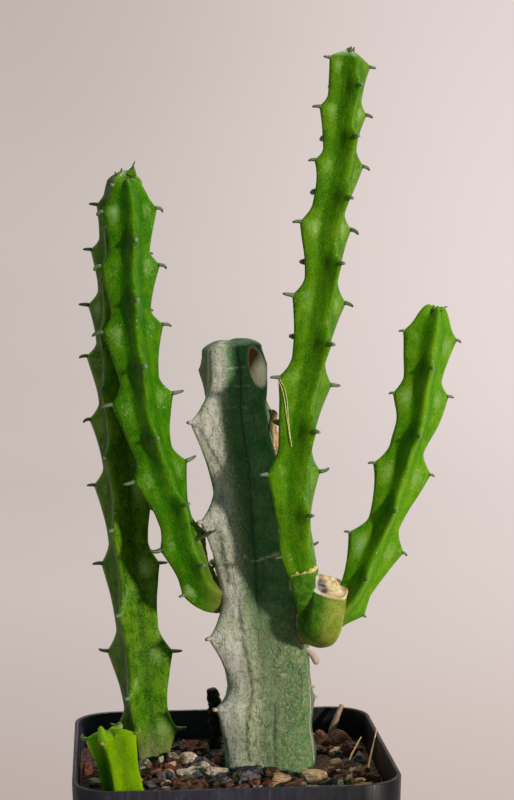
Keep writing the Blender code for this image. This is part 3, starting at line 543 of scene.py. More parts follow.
class Shape:
    """A stem's surface, read by distance from the tip and by angle from the viewer's side."""

    def __init__(self, stem, cone=0.0, lean=0.0, peak=0.0):
        self.stem = stem
        self.lean = lean
        self.peak = peak
        self.tip_shares = np.sin(np.linspace(0, math.pi / 2, TIP_RINGS + 1))
        dome = 1 - np.sqrt(1 - self.tip_shares ** 2)
        self.tip_distances = stem.tip * (dome * (1 - cone) + self.tip_shares * cone)
        self.points, self.distances = smooth_path(stem.path)
        self.length = self.distances[-1]
        self.teeth = whorls(stem)

    def centre(self, distance):
        return along_curve(self.points, self.distances, distance)

    def frame(self, distance):
        """Which way the tip lies, and the stem's front and right."""
        low = np.minimum(distance + DIRECTION_REACH, self.length)
        high = np.maximum(distance - DIRECTION_REACH, 0.0)
        up = unit(self.centre(high) - self.centre(low))
        front = np.array([0.0, -1.0, 0.0])
        front = unit(front - up * (up @ front)[..., None])
        return up, front, np.cross(up, front)

    def outward(self, distance, angle):
        _, front, right = self.frame(distance)
        heading = np.radians(angle)[..., None]
        return front * np.cos(heading) + right * np.sin(heading)

    def from_rib(self, distance, angle):
        """The nearest rib, and the angle aside from it."""
        turned = angle - read(self.stem.turn, distance)
        return np.round(turned / 90).astype(int) % 4, (turned + 45) % 90 - 45

    def radius(self, distance, angle):
        rib, aside = self.from_rib(distance, angle)
        crest = read(self.stem.rib, distance)
        groove = crest * (read(self.stem.groove, distance) - GROOVE_DEEPER)
        softened = np.radians(45 - np.sqrt(aside ** 2 + EDGE_ROUND ** 2))
        sharpest = 1 / math.cos(math.radians(45 - EDGE_ROUND)) - 1
        radius = groove + (crest - groove) * ((1 / np.cos(softened) - 1) / sharpest)
        nearness = np.clip(1 - np.abs(aside) / TOOTH_HALF_WIDTH, 0, 1)
        for place, ribs, shoulder, taper in self.teeth:
            profile = tooth_profile(distance - place, shoulder, taper)
            width = nearness ** (TOOTH_SIDE_CURVE + TOOTH_EDGE_CURVE * profile)
            for index in ribs:
                height = read(self.stem.teeth, place) * read(self.stem.share[index], place)
                radius = radius + np.where(rib == index, height * width * profile, 0.0)
        return radius

    def tip_share(self, distance):
        """Share of its full radius that the stem has near its rounded tip."""
        return np.interp(distance, self.tip_distances, self.tip_shares)

    def tip_lift(self, distance, angle, share):
        """How far the tip's ribs rise, and how far one of its sides hangs down."""
        _, aside = self.from_rib(distance, angle)
        lobe = np.cos(np.radians(2 * aside)) ** 2
        rise = self.peak * self.stem.tip * lobe * np.sin(math.pi * share)
        across = self.radius(distance, angle) * share * np.sin(np.radians(angle))
        hanging = np.maximum(across * np.sign(self.lean), 0) * abs(self.lean) * share
        return rise - hanging * np.clip(1 - distance / TIP_LEAN_REACH, 0, 1) ** 1.5

    def surface(self, distance, angle, share=1.0):
        radius = self.radius(distance, angle) * share
        return self.centre(distance) + self.outward(distance, angle) * radius[..., None]

    def height_over(self, points):
        """How far points stand over this surface, below zero inside it."""
        gaps = np.linalg.norm(points[:, None, :] - self.points[None, :, :], axis=2)
        distance = self.distances[np.argmin(gaps, axis=1)]
        away = points - self.centre(distance)
        _, front, right = self.frame(distance)
        angle = np.degrees(np.arctan2((away * right).sum(1), (away * front).sum(1)))
        return np.min(gaps, axis=1) - self.radius(distance, angle)


def new_bmesh():
    """A bmesh with a layer for each mask and for the straightened place."""
    bm = bmesh.new()
    for name in MASKS:
        bm.verts.layers.float.new(name)
    bm.verts.layers.float_vector.new(STRAIGHT)
    return bm


def wrap_grid(bm, columns, rows, place, material=0):
    """Wrap a flat grid into a closed tube: place gives its points and masks from row and turn."""
    made = bmesh.ops.create_grid(bm, x_segments=columns, y_segments=rows, size=0.5)["verts"]
    turn = np.array([vert.co.x for vert in made]) + 0.5
    row = np.round((np.array([vert.co.y for vert in made]) + 0.5) * rows).astype(int)
    points, straight, masks = place(row, turn)
    layer = bm.verts.layers.float_vector[STRAIGHT]
    for vert, point, spot in zip(made, points, straight):
        vert.co = point * MM
        vert[layer] = spot
    for name, values in masks.items():
        layer = bm.verts.layers.float[name]
        for vert, value in zip(made, values):
            vert[layer] = value
    for vert in made:
        for face in vert.link_faces:
            face.material_index = material
            face.smooth = True
    bmesh.ops.remove_doubles(bm, verts=made, dist=MERGE)


def plain_object(name, bm):
    """An object of a bmesh, with its normals out."""
    bmesh.ops.recalc_face_normals(bm, faces=bm.faces[:])
    mesh = bpy.data.meshes.new(name)
    bm.to_mesh(mesh)
    bm.free()
    return place_object(name, mesh)


def place_object(name, data, place=None):
    """An object of a mesh, a light or a camera in the scene."""
    item = bpy.data.objects.new(name, data)
    bpy.context.scene.collection.objects.link(item)
    if place is not None:
        item.matrix_world = place
    return item


def add_piece(name, bm, materials, replaced=(), sharp=None):
    """Make a bmesh a piece of the plant; edges over the sharp angle in degrees stay sharp."""
    piece = plain_object(name, bm)
    for material in materials:
        piece.data.materials.append(material)
    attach(piece, BODY)
    if replaced:
        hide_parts(*replaced)
    if sharp:
        piece.data.shade_smooth()
        piece.data.set_sharp_from_angle(angle=math.radians(sharp))


def ring_table(shape, step, end):
    """Distances of a stem's rings from its tip, and the share of its radius each one has."""
    along = np.arange(shape.stem.tip + step, end, step)
    distances = np.concatenate([shape.tip_distances, along, [end, end]])
    shares = np.concatenate([shape.tip_shares, np.ones(len(along) + 1), [0.0]])
    return distances, shares


def bloom_mask(shape, distance, angle):
    """Pale wax on both sides of each tooth, at its shoulder and just below; where it is strongest the skin
    also gets a painted highlight.
    """
    rib, aside = shape.from_rib(distance, angle)
    bloom = np.zeros_like(distance)
    for place, ribs, shoulder, _ in shape.teeth:
        for index in ribs:
            strength = draw.uniform(*BLOOM_STRENGTHS) * (FRONT_BLOOM if index == 0 else 1.0)
            centre = place + draw.uniform(*BLOOM_SHIFTS)
            reach = np.where(distance < centre, shoulder * BLOOM_UP_SHARE, draw.uniform(*BLOOM_REACHES))
            beside = gauss((np.abs(aside) - BLOOM_ASIDE) / BLOOM_WIDTH)
            spot = strength * beside * gauss((distance - centre) / reach)
            bloom = np.maximum(bloom, np.where(rib == index, spot, 0.0))
    return bloom


def painted_tooth_shadow(shape, distance, angle):
    """Painted shadow: darker skin on the left side of each front tooth, where its shadow falls."""
    rib, aside = shape.from_rib(distance, angle)
    shade = np.zeros_like(distance)
    for place, ribs, _, _ in shape.teeth:
        if 0 in ribs:
            beside = gauss((aside - SHADE_ASIDE) / SHADE_WIDTH)
            spot = beside * gauss((distance - place - SHADE_SHIFT) / SHADE_REACH)
            shade = np.maximum(shade, np.where(rib == 0, spot, 0.0))
    return shade


def joint_mask(parent, points, reach, near):
    """How close points come to the stem that they grow from, where near allows it."""
    height = np.full(len(points), FAR)
    height[near] = parent.height_over(points[near])
    over_cut = (points - np.array(CUT_POINT)) @ unit(np.array(CUT_NORMAL))
    return gauss(np.where(over_cut > CUT_FACE_CLEARANCE, FAR, height) / reach)


def skin_surface(shape, distances, shares, parents, extra):
    """The place function of a stem's skin."""
    def place(row, turn):
        distance = distances[row]
        angle = turn * 360 + read(shape.stem.turn, distance)
        share = shares[row]
        _, aside = shape.from_rib(distance, angle)
        points = shape.surface(distance, angle, share)
        masks = {
            # The groove mask paints shade into the valleys between the ribs
            "groove": gauss((45 - np.abs(aside)) / GROOVE_SHADE_WIDTH),
            "crest": gauss(aside / CREST_WIDTH),
            "bloom": bloom_mask(shape, distance, angle),
            # The mask beside the front teeth is painted shadow
            "stain": painted_tooth_shadow(shape, distance, angle),
            "joint": np.zeros_like(distance),
        }
        lift = SKIN_WOBBLE * rough(points, SKIN_WOBBLE_SIZE) * np.minimum(share * 2, 1)
        for parent in parents:
            reach = JOINT_REACH.get(shape.stem.name, LEAST_JOINT_REACH)
            joint = joint_mask(parent, points, reach, distance > shape.length - JOINT_LENGTH)
            masks["joint"] = np.maximum(masks["joint"], joint)
        ragged = 0.3 * masks["joint"] * (0.4 + 0.9 * rough(points, 0.8, 5.0))
        top = shape.frame(distance)[0] * shape.tip_lift(distance, angle, share)[:, None]
        if extra:
            lift = lift + extra(distance, angle, points, masks)
        points = points + shape.outward(distance, angle) * (lift + ragged)[:, None] + top
        radius = shape.radius(distance, angle) * share
        return points, unrolled(radius, np.radians(angle), distance), masks
    return place


def leaf_surface(root, outward, up, across, horn, dry):
    """The place function of a small leaf that narrows and bends towards its point."""
    shares = np.linspace(-LEAF_SUNK / horn.length, 1, LEAF_RINGS + 1)
    reach = np.clip(shares, 0, 1)
    sizes = horn.width * (1 - (1 - horn.end) * reach) * np.sqrt(1 - reach ** 6)
    sizes[0] = 0.0
    headings = np.radians(horn.bend) * reach ** 1.5
    step = np.diff(shares, prepend=shares[0]) * horn.length
    out = np.cumsum(np.cos(headings) * step) - LEAF_SUNK
    lift = np.cumsum(np.sin(headings) * step)

    def place(row, turn):
        around = turn * 2 * math.pi
        along = headings[row]
        thick = up * np.cos(along)[:, None] - outward * np.sin(along)[:, None]
        points = root + outward * out[row][:, None] + up * lift[row][:, None]
        points = (points + across * (np.cos(around) * sizes[row])[:, None]
                  + thick * (np.sin(around) * sizes[row] * LEAF_FLATNESS)[:, None])
        leaf = np.clip(reach[row] + horn.brown, 0, 1)
        return points, points, {"leaf": leaf, "dry": np.full_like(turn, dry)}
    return place


def add_leaf(bm, shape, horn, dry):
    """One leaf or horn on the skin."""
    spot, heading = np.array([float(horn.place)]), np.array([float(horn.angle)])
    up = shape.frame(spot)[0][0]
    outward = shape.outward(spot, heading)[0]
    share = shape.tip_share(spot)
    root = shape.surface(spot, heading, share)[0] + up * shape.tip_lift(spot, heading, share)
    aim = unit(outward * (1 - horn.direction) + up * horn.direction)
    across = np.cross(up, outward)
    surface = leaf_surface(root, aim, np.cross(aim, across), across, horn, dry)
    wrap_grid(bm, LEAF_SIDES, LEAF_RINGS, surface, material=horn.material)


def add_leaves(bm, shape, dryness, thickness):
    """A small leaf on every tooth, each a little different."""
    stem = shape.stem
    for place, ribs, _, _ in shape.teeth:
        for index in ribs:
            length = float(read(stem.hook, place))
            if length == 0 or read(stem.share[index], place) < LEAST_LEAFY_SHARE:
                continue
            length *= 1 + draw.uniform(-1, 1) * LEAF_LENGTH_SPREAD
            bend = float(read(stem.rise, place)) * LEAF_BEND
            bend = max(bend + draw.uniform(-1, 1) * LEAF_BEND_SPREAD, LEAST_BEND)
            width = (LEAF_WIDTH + LEAF_WIDTH_GAIN * length) * thickness
            dry = draw.uniform(*dryness)
            brown = 0.0
            if index == 0:
                length *= FRONT_LEAF_SHARE
                dry, brown = max(dry, FRONT_LEAF_DRYNESS), FRONT_LEAF_BROWN
            elif index == 2:
                length *= BACK_LEAF_SHARE
                width *= BACK_LEAF_WIDTH
            angle = float(read(stem.turn, place)) + index * 90
            add_leaf(bm, shape, Horn(place, angle, 0.0, length, width, bend, brown), dry)


def make_stem(stem, materials, dryness, horns, sides=64, step=RING_STEP, parents=(), extra=None,
              end_height=None, cone=0.0, lean=0.0, peak=0.4, thickness=1.0):
    """A stem's skin with its leaves and the horns beside its tip."""
    shape = Shape(stem, cone, lean, peak)
    end = shape.length
    if end_height:
        end = float(shape.distances[np.argmax(shape.points[:, 2] < end_height)])
    distances, shares = ring_table(shape, step, end)
    bm = new_bmesh()
    wrap_grid(bm, sides, len(distances) - 1, skin_surface(shape, distances, shares, parents, extra))
    add_leaves(bm, shape, dryness, thickness)
    for row in horns:
        add_leaf(bm, shape, Horn(*row), draw.uniform(0, 0.3))
    add_piece(stem.name + "_skin", bm, materials, [stem.name])


# Materials

class Nodes:
    """A node tree, and short ways to add to it."""

    def __init__(self, tree):
        self.tree = tree

    def add(self, kind, inputs=(), **settings):
        """A node with its settings, each input a value or another node's output."""
        node = self.tree.nodes.new("ShaderNode" + kind)
        for name, value in settings.items():
            setattr(node, name, value)
        for key, value in dict(inputs).items():
            if isinstance(value, bpy.types.NodeSocket):
                self.link(value, node.inputs[key])
            else:
                node.inputs[key].default_value = value
        return node

    def link(self, output, socket):
        self.tree.links.new(output, socket)

    def mask(self, name):
        return self.add("Attribute", attribute_name=name).outputs["Fac"]

    def place(self, name=None):
        """Object coordinates in metres, or a vector kept at the piece's points."""
        if name:
            return self.add("Attribute", attribute_name=name).outputs["Vector"]
        return self.add("TexCoord").outputs["Object"]

    def axis(self, vector, name):
        return self.add("SeparateXYZ", {0: vector}).outputs[name]

    def stretched(self, vector, sizes):
        return self.add("Mapping", {"Vector": vector, "Scale": sizes}).outputs["Vector"]

    def calc(self, operation, first, second=0.0):
        return self.add("Math", {0: first, 1: second}, operation=operation).outputs[0]

    def times(self, first, second):
        return self.calc("MULTIPLY", first, second)

    def remap(self, value, low, high, to_low=0.0, to_high=1.0):
        inputs = {"Value": value, "From Min": low, "From Max": high, "To Min": to_low, "To Max": to_high}
        return self.add("MapRange", inputs, interpolation_type="SMOOTHSTEP").outputs["Result"]

    def cloud(self, vector, scale, detail=2.0, roughness=0.5):
        inputs = {"Vector": vector, "Scale": scale, "Detail": detail, "Roughness": roughness}
        return self.add("TexNoise", inputs).outputs["Fac"]

    def use(self, group, vector, **values):
        """The outputs of a shared group."""
        return self.add("Group", {"Vector": vector, **values}, node_tree=group).outputs

    def mix(self, share, first, second, mode="MIX"):
        """Two colours mixed; each is an output, a linear colour, or three steps of 0 to 255."""
        shades = [colour(*shade) if isinstance(shade, tuple) and len(shade) == 3 else shade
                  for shade in (first, second)]
        inputs = {0: share, 6: shades[0], 7: shades[1]}
        return self.add("Mix", inputs, data_type="RGBA", blend_type=mode).outputs[2]

    def layers(self, tone, rows):
        """Lay colours over a colour. Each row: an output or a mask's name, its strength, the colour."""
        for share, strength, shade in rows:
            share = self.mask(share) if isinstance(share, str) else share
            share = share if strength == 1 else self.times(share, strength)
            tone = self.mix(share, tone, shade)
        return tone


class Finish(Nodes):
    """A material whose shader has its plain values set."""

    def __init__(self, name, **settings):
        self.material = bpy.data.materials.new(name)
        self.material.use_nodes = True
        super().__init__(self.material.node_tree)
        self.shader = self.tree.nodes["Principled BSDF"].inputs
        for key, value in settings.items():
            self.shader[key.replace("_", " ")].default_value = value

    def finish(self, base, roughness, height, depth):
        """Link the colour, the roughness and a relief of that depth in millimetres."""
        self.link(base, self.shader["Base Color"])
        if isinstance(roughness, bpy.types.NodeSocket):
            self.link(roughness, self.shader["Roughness"])
        else:
            self.shader["Roughness"].default_value = roughness
        bump = self.add("Bump", {"Strength": 1.0, "Distance": depth * MM, "Height": height})
        self.link(bump.outputs["Normal"], self.shader["Normal"])
        return self.material


def new_group(name, numbers, outputs):
    """An empty node group that takes a vector and numbers with defaults."""
    tree = bpy.data.node_groups.new(name, "ShaderNodeTree")
    tree.interface.new_socket(name="Vector", in_out="INPUT", socket_type="NodeSocketVector")
    for socket, value in numbers.items():
        made = tree.interface.new_socket(name=socket, in_out="INPUT", socket_type="NodeSocketFloat")
        made.default_value = value
    for socket in outputs:
        tree.interface.new_socket(name=socket, in_out="OUTPUT", socket_type="NodeSocketFloat")
    entry = tree.nodes.new("NodeGroupInput").outputs
    return Nodes(tree), entry, tree.nodes.new("NodeGroupOutput").inputs


def speckle_group():
    """Fine light and dark specks, and the little relief that goes with them."""
    group, entry, result = new_group("fine_specks", {"Scale": 2.5, "Contrast": 0.12},
                                     ("Light", "Dark", "Height"))
    fine = group.cloud(entry["Vector"], entry["Scale"], 2.0, 0.6)
    high = group.calc("ADD", 0.52, entry["Contrast"])
    low = group.calc("SUBTRACT", 0.48, entry["Contrast"])
    group.link(group.remap(fine, 0.52, high), result["Light"])
    group.link(group.remap(fine, 0.48, low), result["Dark"])
    group.link(fine, result["Height"])
    return group.tree


def patch_group():
    """A mask with a mottled, broken edge."""
    group, entry, result = new_group("broken_patch", {"Mask": 0.0, "Scale": 1.2, "Break": 0.9}, ("Mask",))
    coarse = group.cloud(entry["Vector"], entry["Scale"], 4.0, 0.7)
    shifted = group.times(group.calc("SUBTRACT", coarse, 0.5), entry["Break"])
    group.link(group.remap(group.calc("ADD", entry["Mask"], shifted), 0.3, 0.8), result["Mask"])
    return group.tree


def crackle_group():
    """A net of thin lines that wander and fade."""
    group, entry, result = new_group("fine_net", {"Scale": 0.5, "Width": 0.06}, ("Mask",))
    warp = group.add("TexNoise", {"Vector": entry["Vector"], "Scale": 0.6, "Detail": 2.0})
    bent = group.add("VectorMath", {0: entry["Vector"], 1: warp.outputs["Color"]}, operation="ADD")
    cells = group.add("TexVoronoi", {"Vector": bent.outputs[0], "Scale": entry["Scale"]},
                      feature="DISTANCE_TO_EDGE")
    line = group.remap(cells.outputs["Distance"], entry["Width"], 0.0)
    fade = group.remap(group.cloud(entry["Vector"], 0.3, 1.0), 0.4, 0.6)
    group.link(group.times(line, fade), result["Mask"])
    return group.tree


SPECKS = speckle_group()
PATCH = patch_group()
NET = crackle_group()


def green_skin(name, deep, fresh, bright, wax=(150, 180, 96), bloom=0.42, gloss=0.42, glow=0.2,
               depth=0.002):
    """Living green skin: painted shade in grooves, yellower angles, pale wax, painted glints and highlights,
    painted tooth shadows, fine specks.
    """
    skin = Finish(name, Subsurface_Weight=glow, Subsurface_Scale=depth, Subsurface_Radius=(0.5, 1.0, 0.1),
                  Specular_IOR_Level=0.08, Specular_Tint=(0.7, 1.0, 0.3, 1.0), Coat_Weight=0.06,
                  Coat_Roughness=0.26)
    straight = skin.place(STRAIGHT)
    along = skin.axis(straight, "Z")
    specks = skin.use(SPECKS, straight, Scale=3.2, Contrast=0.09)
    streaks = skin.cloud(skin.stretched(straight, (0.8, 0.8, 0.16)), 1.0, 4.0, 0.65)
    patches = skin.cloud(straight, 0.3, 4.0, 0.6)
    # Painted glints: pale spots along the crests and the wax that stand in for highlights
    painted_glints = skin.times(skin.remap(skin.cloud(straight, 1.5), 0.66, 0.74),
                        skin.calc("ADD", skin.mask("crest"), skin.mask("bloom")))
    waxy = skin.use(PATCH, straight, Mask=skin.mask("bloom"), Scale=1.5, Break=1.3)["Mask"]
    waxy = skin.times(waxy, skin.remap(along, 1.5, 5.0))
    scaly = skin.remap(skin.cloud(straight, 0.7, 4.0, 0.7), 0.4, 0.6, 0.3, 0.95)
    tone = skin.mix(skin.remap(streaks, 0.34, 0.62, 0.25, 1.0), deep, fresh)
    tone = skin.layers(tone, (
        (skin.remap(patches, 0.42, 0.62, 0.0, 0.5), 1, bright),
        # Painted shade: darker green in the grooves
        ("groove", 0.7, deep),
        ("crest", skin.remap(streaks, 0.4, 0.6, 0.1, 0.5), bright),
        (specks["Light"], 0.42, bright),
        (specks["Dark"], 0.42, deep),
        (painted_glints, skin.times(skin.remap(along, 5.0, 11.0), 0.6), (196, 220, 184)),
        (waxy, bloom, wax),
        # Painted highlight: a pale core where the wax is strongest
        (waxy, skin.remap(skin.mask("bloom"), 0.72, 0.95, 0.0, 0.26), (164, 200, 160)),
        # Painted shadow left of each front tooth
        ("stain", 0.6, tuple(step * 0.5 for step in deep)),
        ("dry", scaly, (128, 120, 86)),
        ("joint", 0.75, (124, 122, 56)),
    ))
    roughness = skin.remap(skin.mask("joint"), 0.0, 1.0, gloss, 0.75)
    return skin.finish(tone, roughness, skin.calc("ADD", specks["Height"], skin.times(streaks, 1.5)), 0.1)


def leaf_horn(name, fresh, dried):
    """Small leaves: grey green at the root, browner at the point, some dried pale."""
    leaf = Finish(name, Specular_IOR_Level=0.4)
    grain = leaf.cloud(leaf.place(), 1800.0)
    tone = leaf.layers(leaf.mix(leaf.mask("dry"), fresh, dried), (
        (leaf.remap(leaf.mask("leaf"), 0.35, 1.0, 0.0, 0.8), 1, (92, 66, 40)),
        (leaf.remap(grain, 0.45, 0.7, 0.0, 0.3), 1, (126, 136, 100)),
    ))
    return leaf.finish(tone, 0.5, grain, 0.05)


def old_skin(name):
    """Old main stem: grey green with a corky, bleached side, pale cracks, fine specks, painted shade in its
    grooves, and a scar that glows with painted light.
    """
    skin = Finish(name, Specular_IOR_Level=0.25, Emission_Strength=SCAR_PAINTED_LIGHT)
    straight = skin.place(STRAIGHT)
    specks = skin.use(SPECKS, straight, Scale=1.9, Contrast=0.14)
    blotches = skin.cloud(straight, 0.28, 5.0, 0.65)
    streaks = skin.cloud(skin.stretched(straight, (0.7, 0.7, 0.2)), 1.0, 5.0, 0.65)
    net = skin.use(NET, skin.stretched(straight, (1.0, 1.0, 0.5)), Scale=0.3, Width=0.03)["Mask"]
    worn = skin.remap(skin.cloud(straight, 0.8, 4.0, 0.7), 0.4, 0.62, 0.1, 0.8)
    mossy = skin.remap(skin.cloud(straight, 0.9, 4.0, 0.7), 0.45, 0.6)
    green = skin.mix(skin.remap(blotches, 0.38, 0.62), (60, 110, 60), (98, 130, 84))
    green = skin.layers(green, (
        (skin.remap(streaks, 0.5, 0.68, 0.0, 0.5), 1, (74, 104, 42)),
        ("crest", 1, (208, 206, 172)),
        ("dry", worn, (134, 130, 90)),
    ))
    cork = skin.mix(skin.remap(streaks, 0.35, 0.6), (153, 145, 135), (200, 191, 182))
    cork = skin.mix(skin.remap(blotches, 0.46, 0.64, 0.0, 0.7), cork, (163, 161, 132))
    corky = skin.use(PATCH, straight, Mask=skin.mask("cork"), Scale=1.1, Break=0.7)["Mask"]
    scar = skin.mix(skin.remap(streaks, 0.36, 0.64), (206, 178, 148), (240, 222, 202))
    scar = skin.mix(skin.mask("stain"), scar, (92, 52, 28))
    tone = skin.layers(skin.mix(corky, green, cork), (
        (specks["Light"], 0.3, (122, 148, 108)),
        (specks["Light"], skin.times(skin.mask("dry"), 0.2), (212, 210, 186)),
        (specks["Dark"], 0.5, (50, 82, 44)),
        (net, 0.5, (60, 76, 46)),
        # Painted shade: darker green in the grooves
        ("groove", 0.5, (46, 80, 44)),
        (skin.times(skin.mask("moss"), mossy), 0.7, (74, 118, 30)),
        ("pale", 0.75, (214, 206, 184)),
        ("crack", 0.8, (40, 58, 32)),
        ("scar", 1, scar),
    ))
    # The scar's glow is painted light
    skin.link(skin.mix(skin.mask("scar"), BLACK, scar), skin.shader["Emission Color"])
    relief = skin.calc("ADD", specks["Height"], skin.times(streaks, 2.0))
    return skin.finish(tone, 0.66, skin.calc("ADD", relief, skin.times(net, -0.8)), 0.12)


def cut_skin(name):
    """Cut branch: olive skin with painted shade on its shaded side, and a dried cut face with darker rings
    and a bruise.
    """
    skin = Finish(name, Specular_IOR_Level=0.15, Subsurface_Weight=0.08, Subsurface_Scale=0.001)
    straight = skin.place(STRAIGHT)
    specks = skin.use(SPECKS, straight, Scale=2.4, Contrast=0.12)
    mottled = skin.cloud(straight, 0.6, 3.0, 0.6)
    mottling = skin.remap(mottled, 0.4, 0.6)
    ringed = skin.calc("ADD", skin.mask("leaf"), skin.times(skin.cloud(straight, 0.5, 3.0), 0.14))
    rings = skin.calc("ABSOLUTE", skin.calc("SINE", skin.times(ringed, 20.0)))
    lined = skin.times(skin.remap(rings, 0.35, 0.0), skin.remap(ringed, 0.7, 0.85))
    dark = skin.mix(skin.remap(mottled, 0.42, 0.6), (56, 44, 48), (134, 114, 108))
    face = skin.mix(skin.remap(mottled, 0.38, 0.62), (204, 166, 118), (240, 218, 178))
    face = skin.layers(face, ((lined, 0.75, (142, 96, 62)), ("pale", 1, (240, 232, 222)), ("stain", 1, dark)))
    patches = skin.remap(skin.cloud(straight, 0.3, 3.0), 0.35, 0.65)
    tone = skin.layers(skin.mix(patches, (122, 138, 34), (154, 160, 62)), (
        (specks["Dark"], 0.35, (78, 98, 24)),
        (specks["Light"], 0.25, (176, 176, 92)),
        # Painted shade: dark green on the side turned from the sun and on the branch seat
        ("groove", 0.92, skin.mix(mottling, (42, 98, 7), (72, 126, 22))),
        ("scar", 1, face),
        ("joint", 1, skin.mix(mottling, (112, 108, 62), (190, 172, 122))),
        (skin.remap(skin.mask("crack"), 0.3, 0.7), 1, skin.mix(mottling, (206, 172, 100), (236, 214, 158))),
    ))
    return skin.finish(tone, skin.remap(skin.mask("scar"), 0.0, 1.0, 0.45, 0.85), specks["Height"], 0.12)


def pot_plastic(name):
    """Thin black nursery pot: satin, scuffed up and down, dusty in places, with painted shade darkening its
    right side.
    """
    pot = Finish(name, Specular_IOR_Level=0.25)
    spot = pot.place()
    scuffs = pot.cloud(pot.stretched(spot, (1400, 1400, 160)), 1.0, 3.0, 0.6)
    dust = pot.cloud(spot, 220.0, 5.0, 0.7)
    tone = pot.layers(pot.mix(pot.remap(dust, 0.45, 0.75), (36, 33, 44), (52, 48, 63)), (
        (pot.remap(scuffs, 0.56, 0.74, 0.0, 0.42), 1, (80, 76, 98)),
        # Painted shade: the right side goes nearly black
        (pot.remap(pot.axis(spot, "X"), 0.0, 0.034, 0.0, 0.93), 1, (9, 8, 10)),
    ))
    return pot.finish(tone, pot.remap(scuffs, 0.3, 0.7, 0.34, 0.56), scuffs, 0.04)


def earth(name):
    """Dark soil between the chips."""
    soil = Finish(name, Specular_IOR_Level=0.2)
    coarse = soil.cloud(soil.place(), 900.0, 5.0, 0.75)
    tone = soil.mix(soil.remap(coarse, 0.35, 0.7), (38, 27, 22), (108, 82, 68))
    return soil.finish(tone, 0.95, coarse, 0.5)


def stone(name, dark, light, scale, depth=0.3, fibres=False):
    """A chip's surface; fibres draws its grain along its length."""
    chip = Finish(name, Specular_IOR_Level=0.25)
    spot = chip.place(STRAIGHT)
    grain = chip.cloud(chip.stretched(spot, (0.25, 2.2, 2.2)) if fibres else spot, scale, 5.0, 0.7)
    pits = chip.cloud(spot, scale * 2.3, 3.0, 0.6)
    tone = chip.layers(chip.mix(chip.remap(grain, 0.32, 0.68), dark, light), (
        (chip.remap(pits, 0.52, 0.36, 0.0, 0.6), 1, tuple(step * 0.4 for step in dark)),
        ("dry", 0.45, dark),
    ))
    return chip.finish(tone, 0.85, chip.calc("ADD", grain, chip.times(pits, 0.6)), depth)


def dry_matter(name, dark, light, glow=0.0):
    """Straw, wood or husk: streaked along its length; glow makes it shine in its own colour, painted light on
    straw that lies in shade.
    """
    scrap = Finish(name, Specular_IOR_Level=0.3, Emission_Strength=glow)
    grain = scrap.cloud(scrap.stretched(scrap.place(STRAIGHT), (2.5, 2.5, 0.35)), 1.0, 4.0, 0.7)
    tone = scrap.mix(scrap.remap(grain, 0.35, 0.65), dark, light)
    scrap.link(tone, scrap.shader["Emission Color"])
    return scrap.finish(tone, 0.75, grain, 0.12)


# Pieces

def beside_line(distance, turned, route, width):
    """How close a point of the main stem lies to a line drawn on it, from 1 on it to 0."""
    arc = math.radians(1) * MARK_RADIUS
    spots = np.stack([distance, turned * arc], axis=1)
    corners = np.array(route, float) * (1.0, arc)
    nearest = np.full_like(distance, FAR)
    for start, end in zip(corners, corners[1:]):
        run = end - start
        along = np.clip((spots - start) @ run / (run @ run), 0, 1)
        away = spots - start - along[:, None] * run
        nearest = np.minimum(nearest, np.hypot(away[:, 0], away[:, 1]))
    return gauss(nearest / width)


def from_mark(distance, turned, mark):
    """How far a point of the main stem lies from a mark's middle, 1 being its edge."""
    place, at, along, across = mark
    return np.hypot((distance - place) / along, (turned - at) / across)


def main_details(distance, angle, points, masks):
    """Cork on the lit side of the main stem, its cracks, warts and moss, and its scars."""
    turned = (angle + 180) % 360 - 180
    middle = CORK_ANGLE + CORK_TWIST * ramp(distance, 16, 0)
    cork = ramp(np.abs(turned - middle), 54, 14) * (0.8 + 0.2 * ramp(distance, 3, 8))
    cork = cork * ramp(distance, 163.5, 73.5)
    masks["cork"] = np.maximum(cork, 0.9 * beside_line(distance, turned, CORK_EDGE, 1.6))
    masks["dry"] = np.maximum(ramp(turned, -12, -26), ramp(distance, 63, 73))
    masks["crest"] = gauss((turned + 20) / 22) * ramp(distance, 60, 85)
    from_scar = from_mark(distance, turned, SCAR)
    from_knot = from_mark(distance, turned, KNOT)
    scar = ramp(from_scar, 1.1, 0.9)
    masks["scar"] = np.maximum(scar, np.clip((1.2 - from_knot) * 3, 0, 1) * 0.7)
    upper = ramp(distance + (turned - SCAR[1]) / 6, 8.0, 5.0)
    masks["stain"] = np.maximum(scar * upper, gauss(from_knot / 0.95))
    wander = rough(points, 1.4, 7.0)
    masks["crack"] = np.max([beside_line(distance + 0.6 * wander, turned + 2.5 * wander, route, width)
                             for route, width in CRACKS], axis=0)
    masks["pale"] = np.max([strength * beside_line(distance + 0.5 * wander, turned, route, width)
                            for route, width, strength in PALE_LINES], axis=0)
    masks["moss"] = np.max([gauss(from_mark(distance, turned, mark)) for mark in MOSS], axis=0)
    warts = np.clip(rough(points, 1.1, 3.0) - 0.34, 0, 1) * 0.405
    wrinkle = 0.09 * rough(points * np.array([1.0, 1.0, 0.35]), 1.6, 9.0)
    wrinkle = wrinkle * (1 + 1.5 * ramp(distance, 92, 102))
    hollow = 0.5 * gauss(from_knot) - 0.6 * gauss(from_scar) * masks["scar"]
    return warts + wrinkle + hollow - 0.22 * masks["crack"]


def rear_foot(distance, angle, points, masks):
    """Scaly old skin where the rear stem comes out of the soil."""
    masks["dry"] = ramp(distance + 2.5 * rough(points, 2.5, 4.0), 138, 144)
    return 0.12 * masks["dry"] * rough(points, 0.9, 6.0)


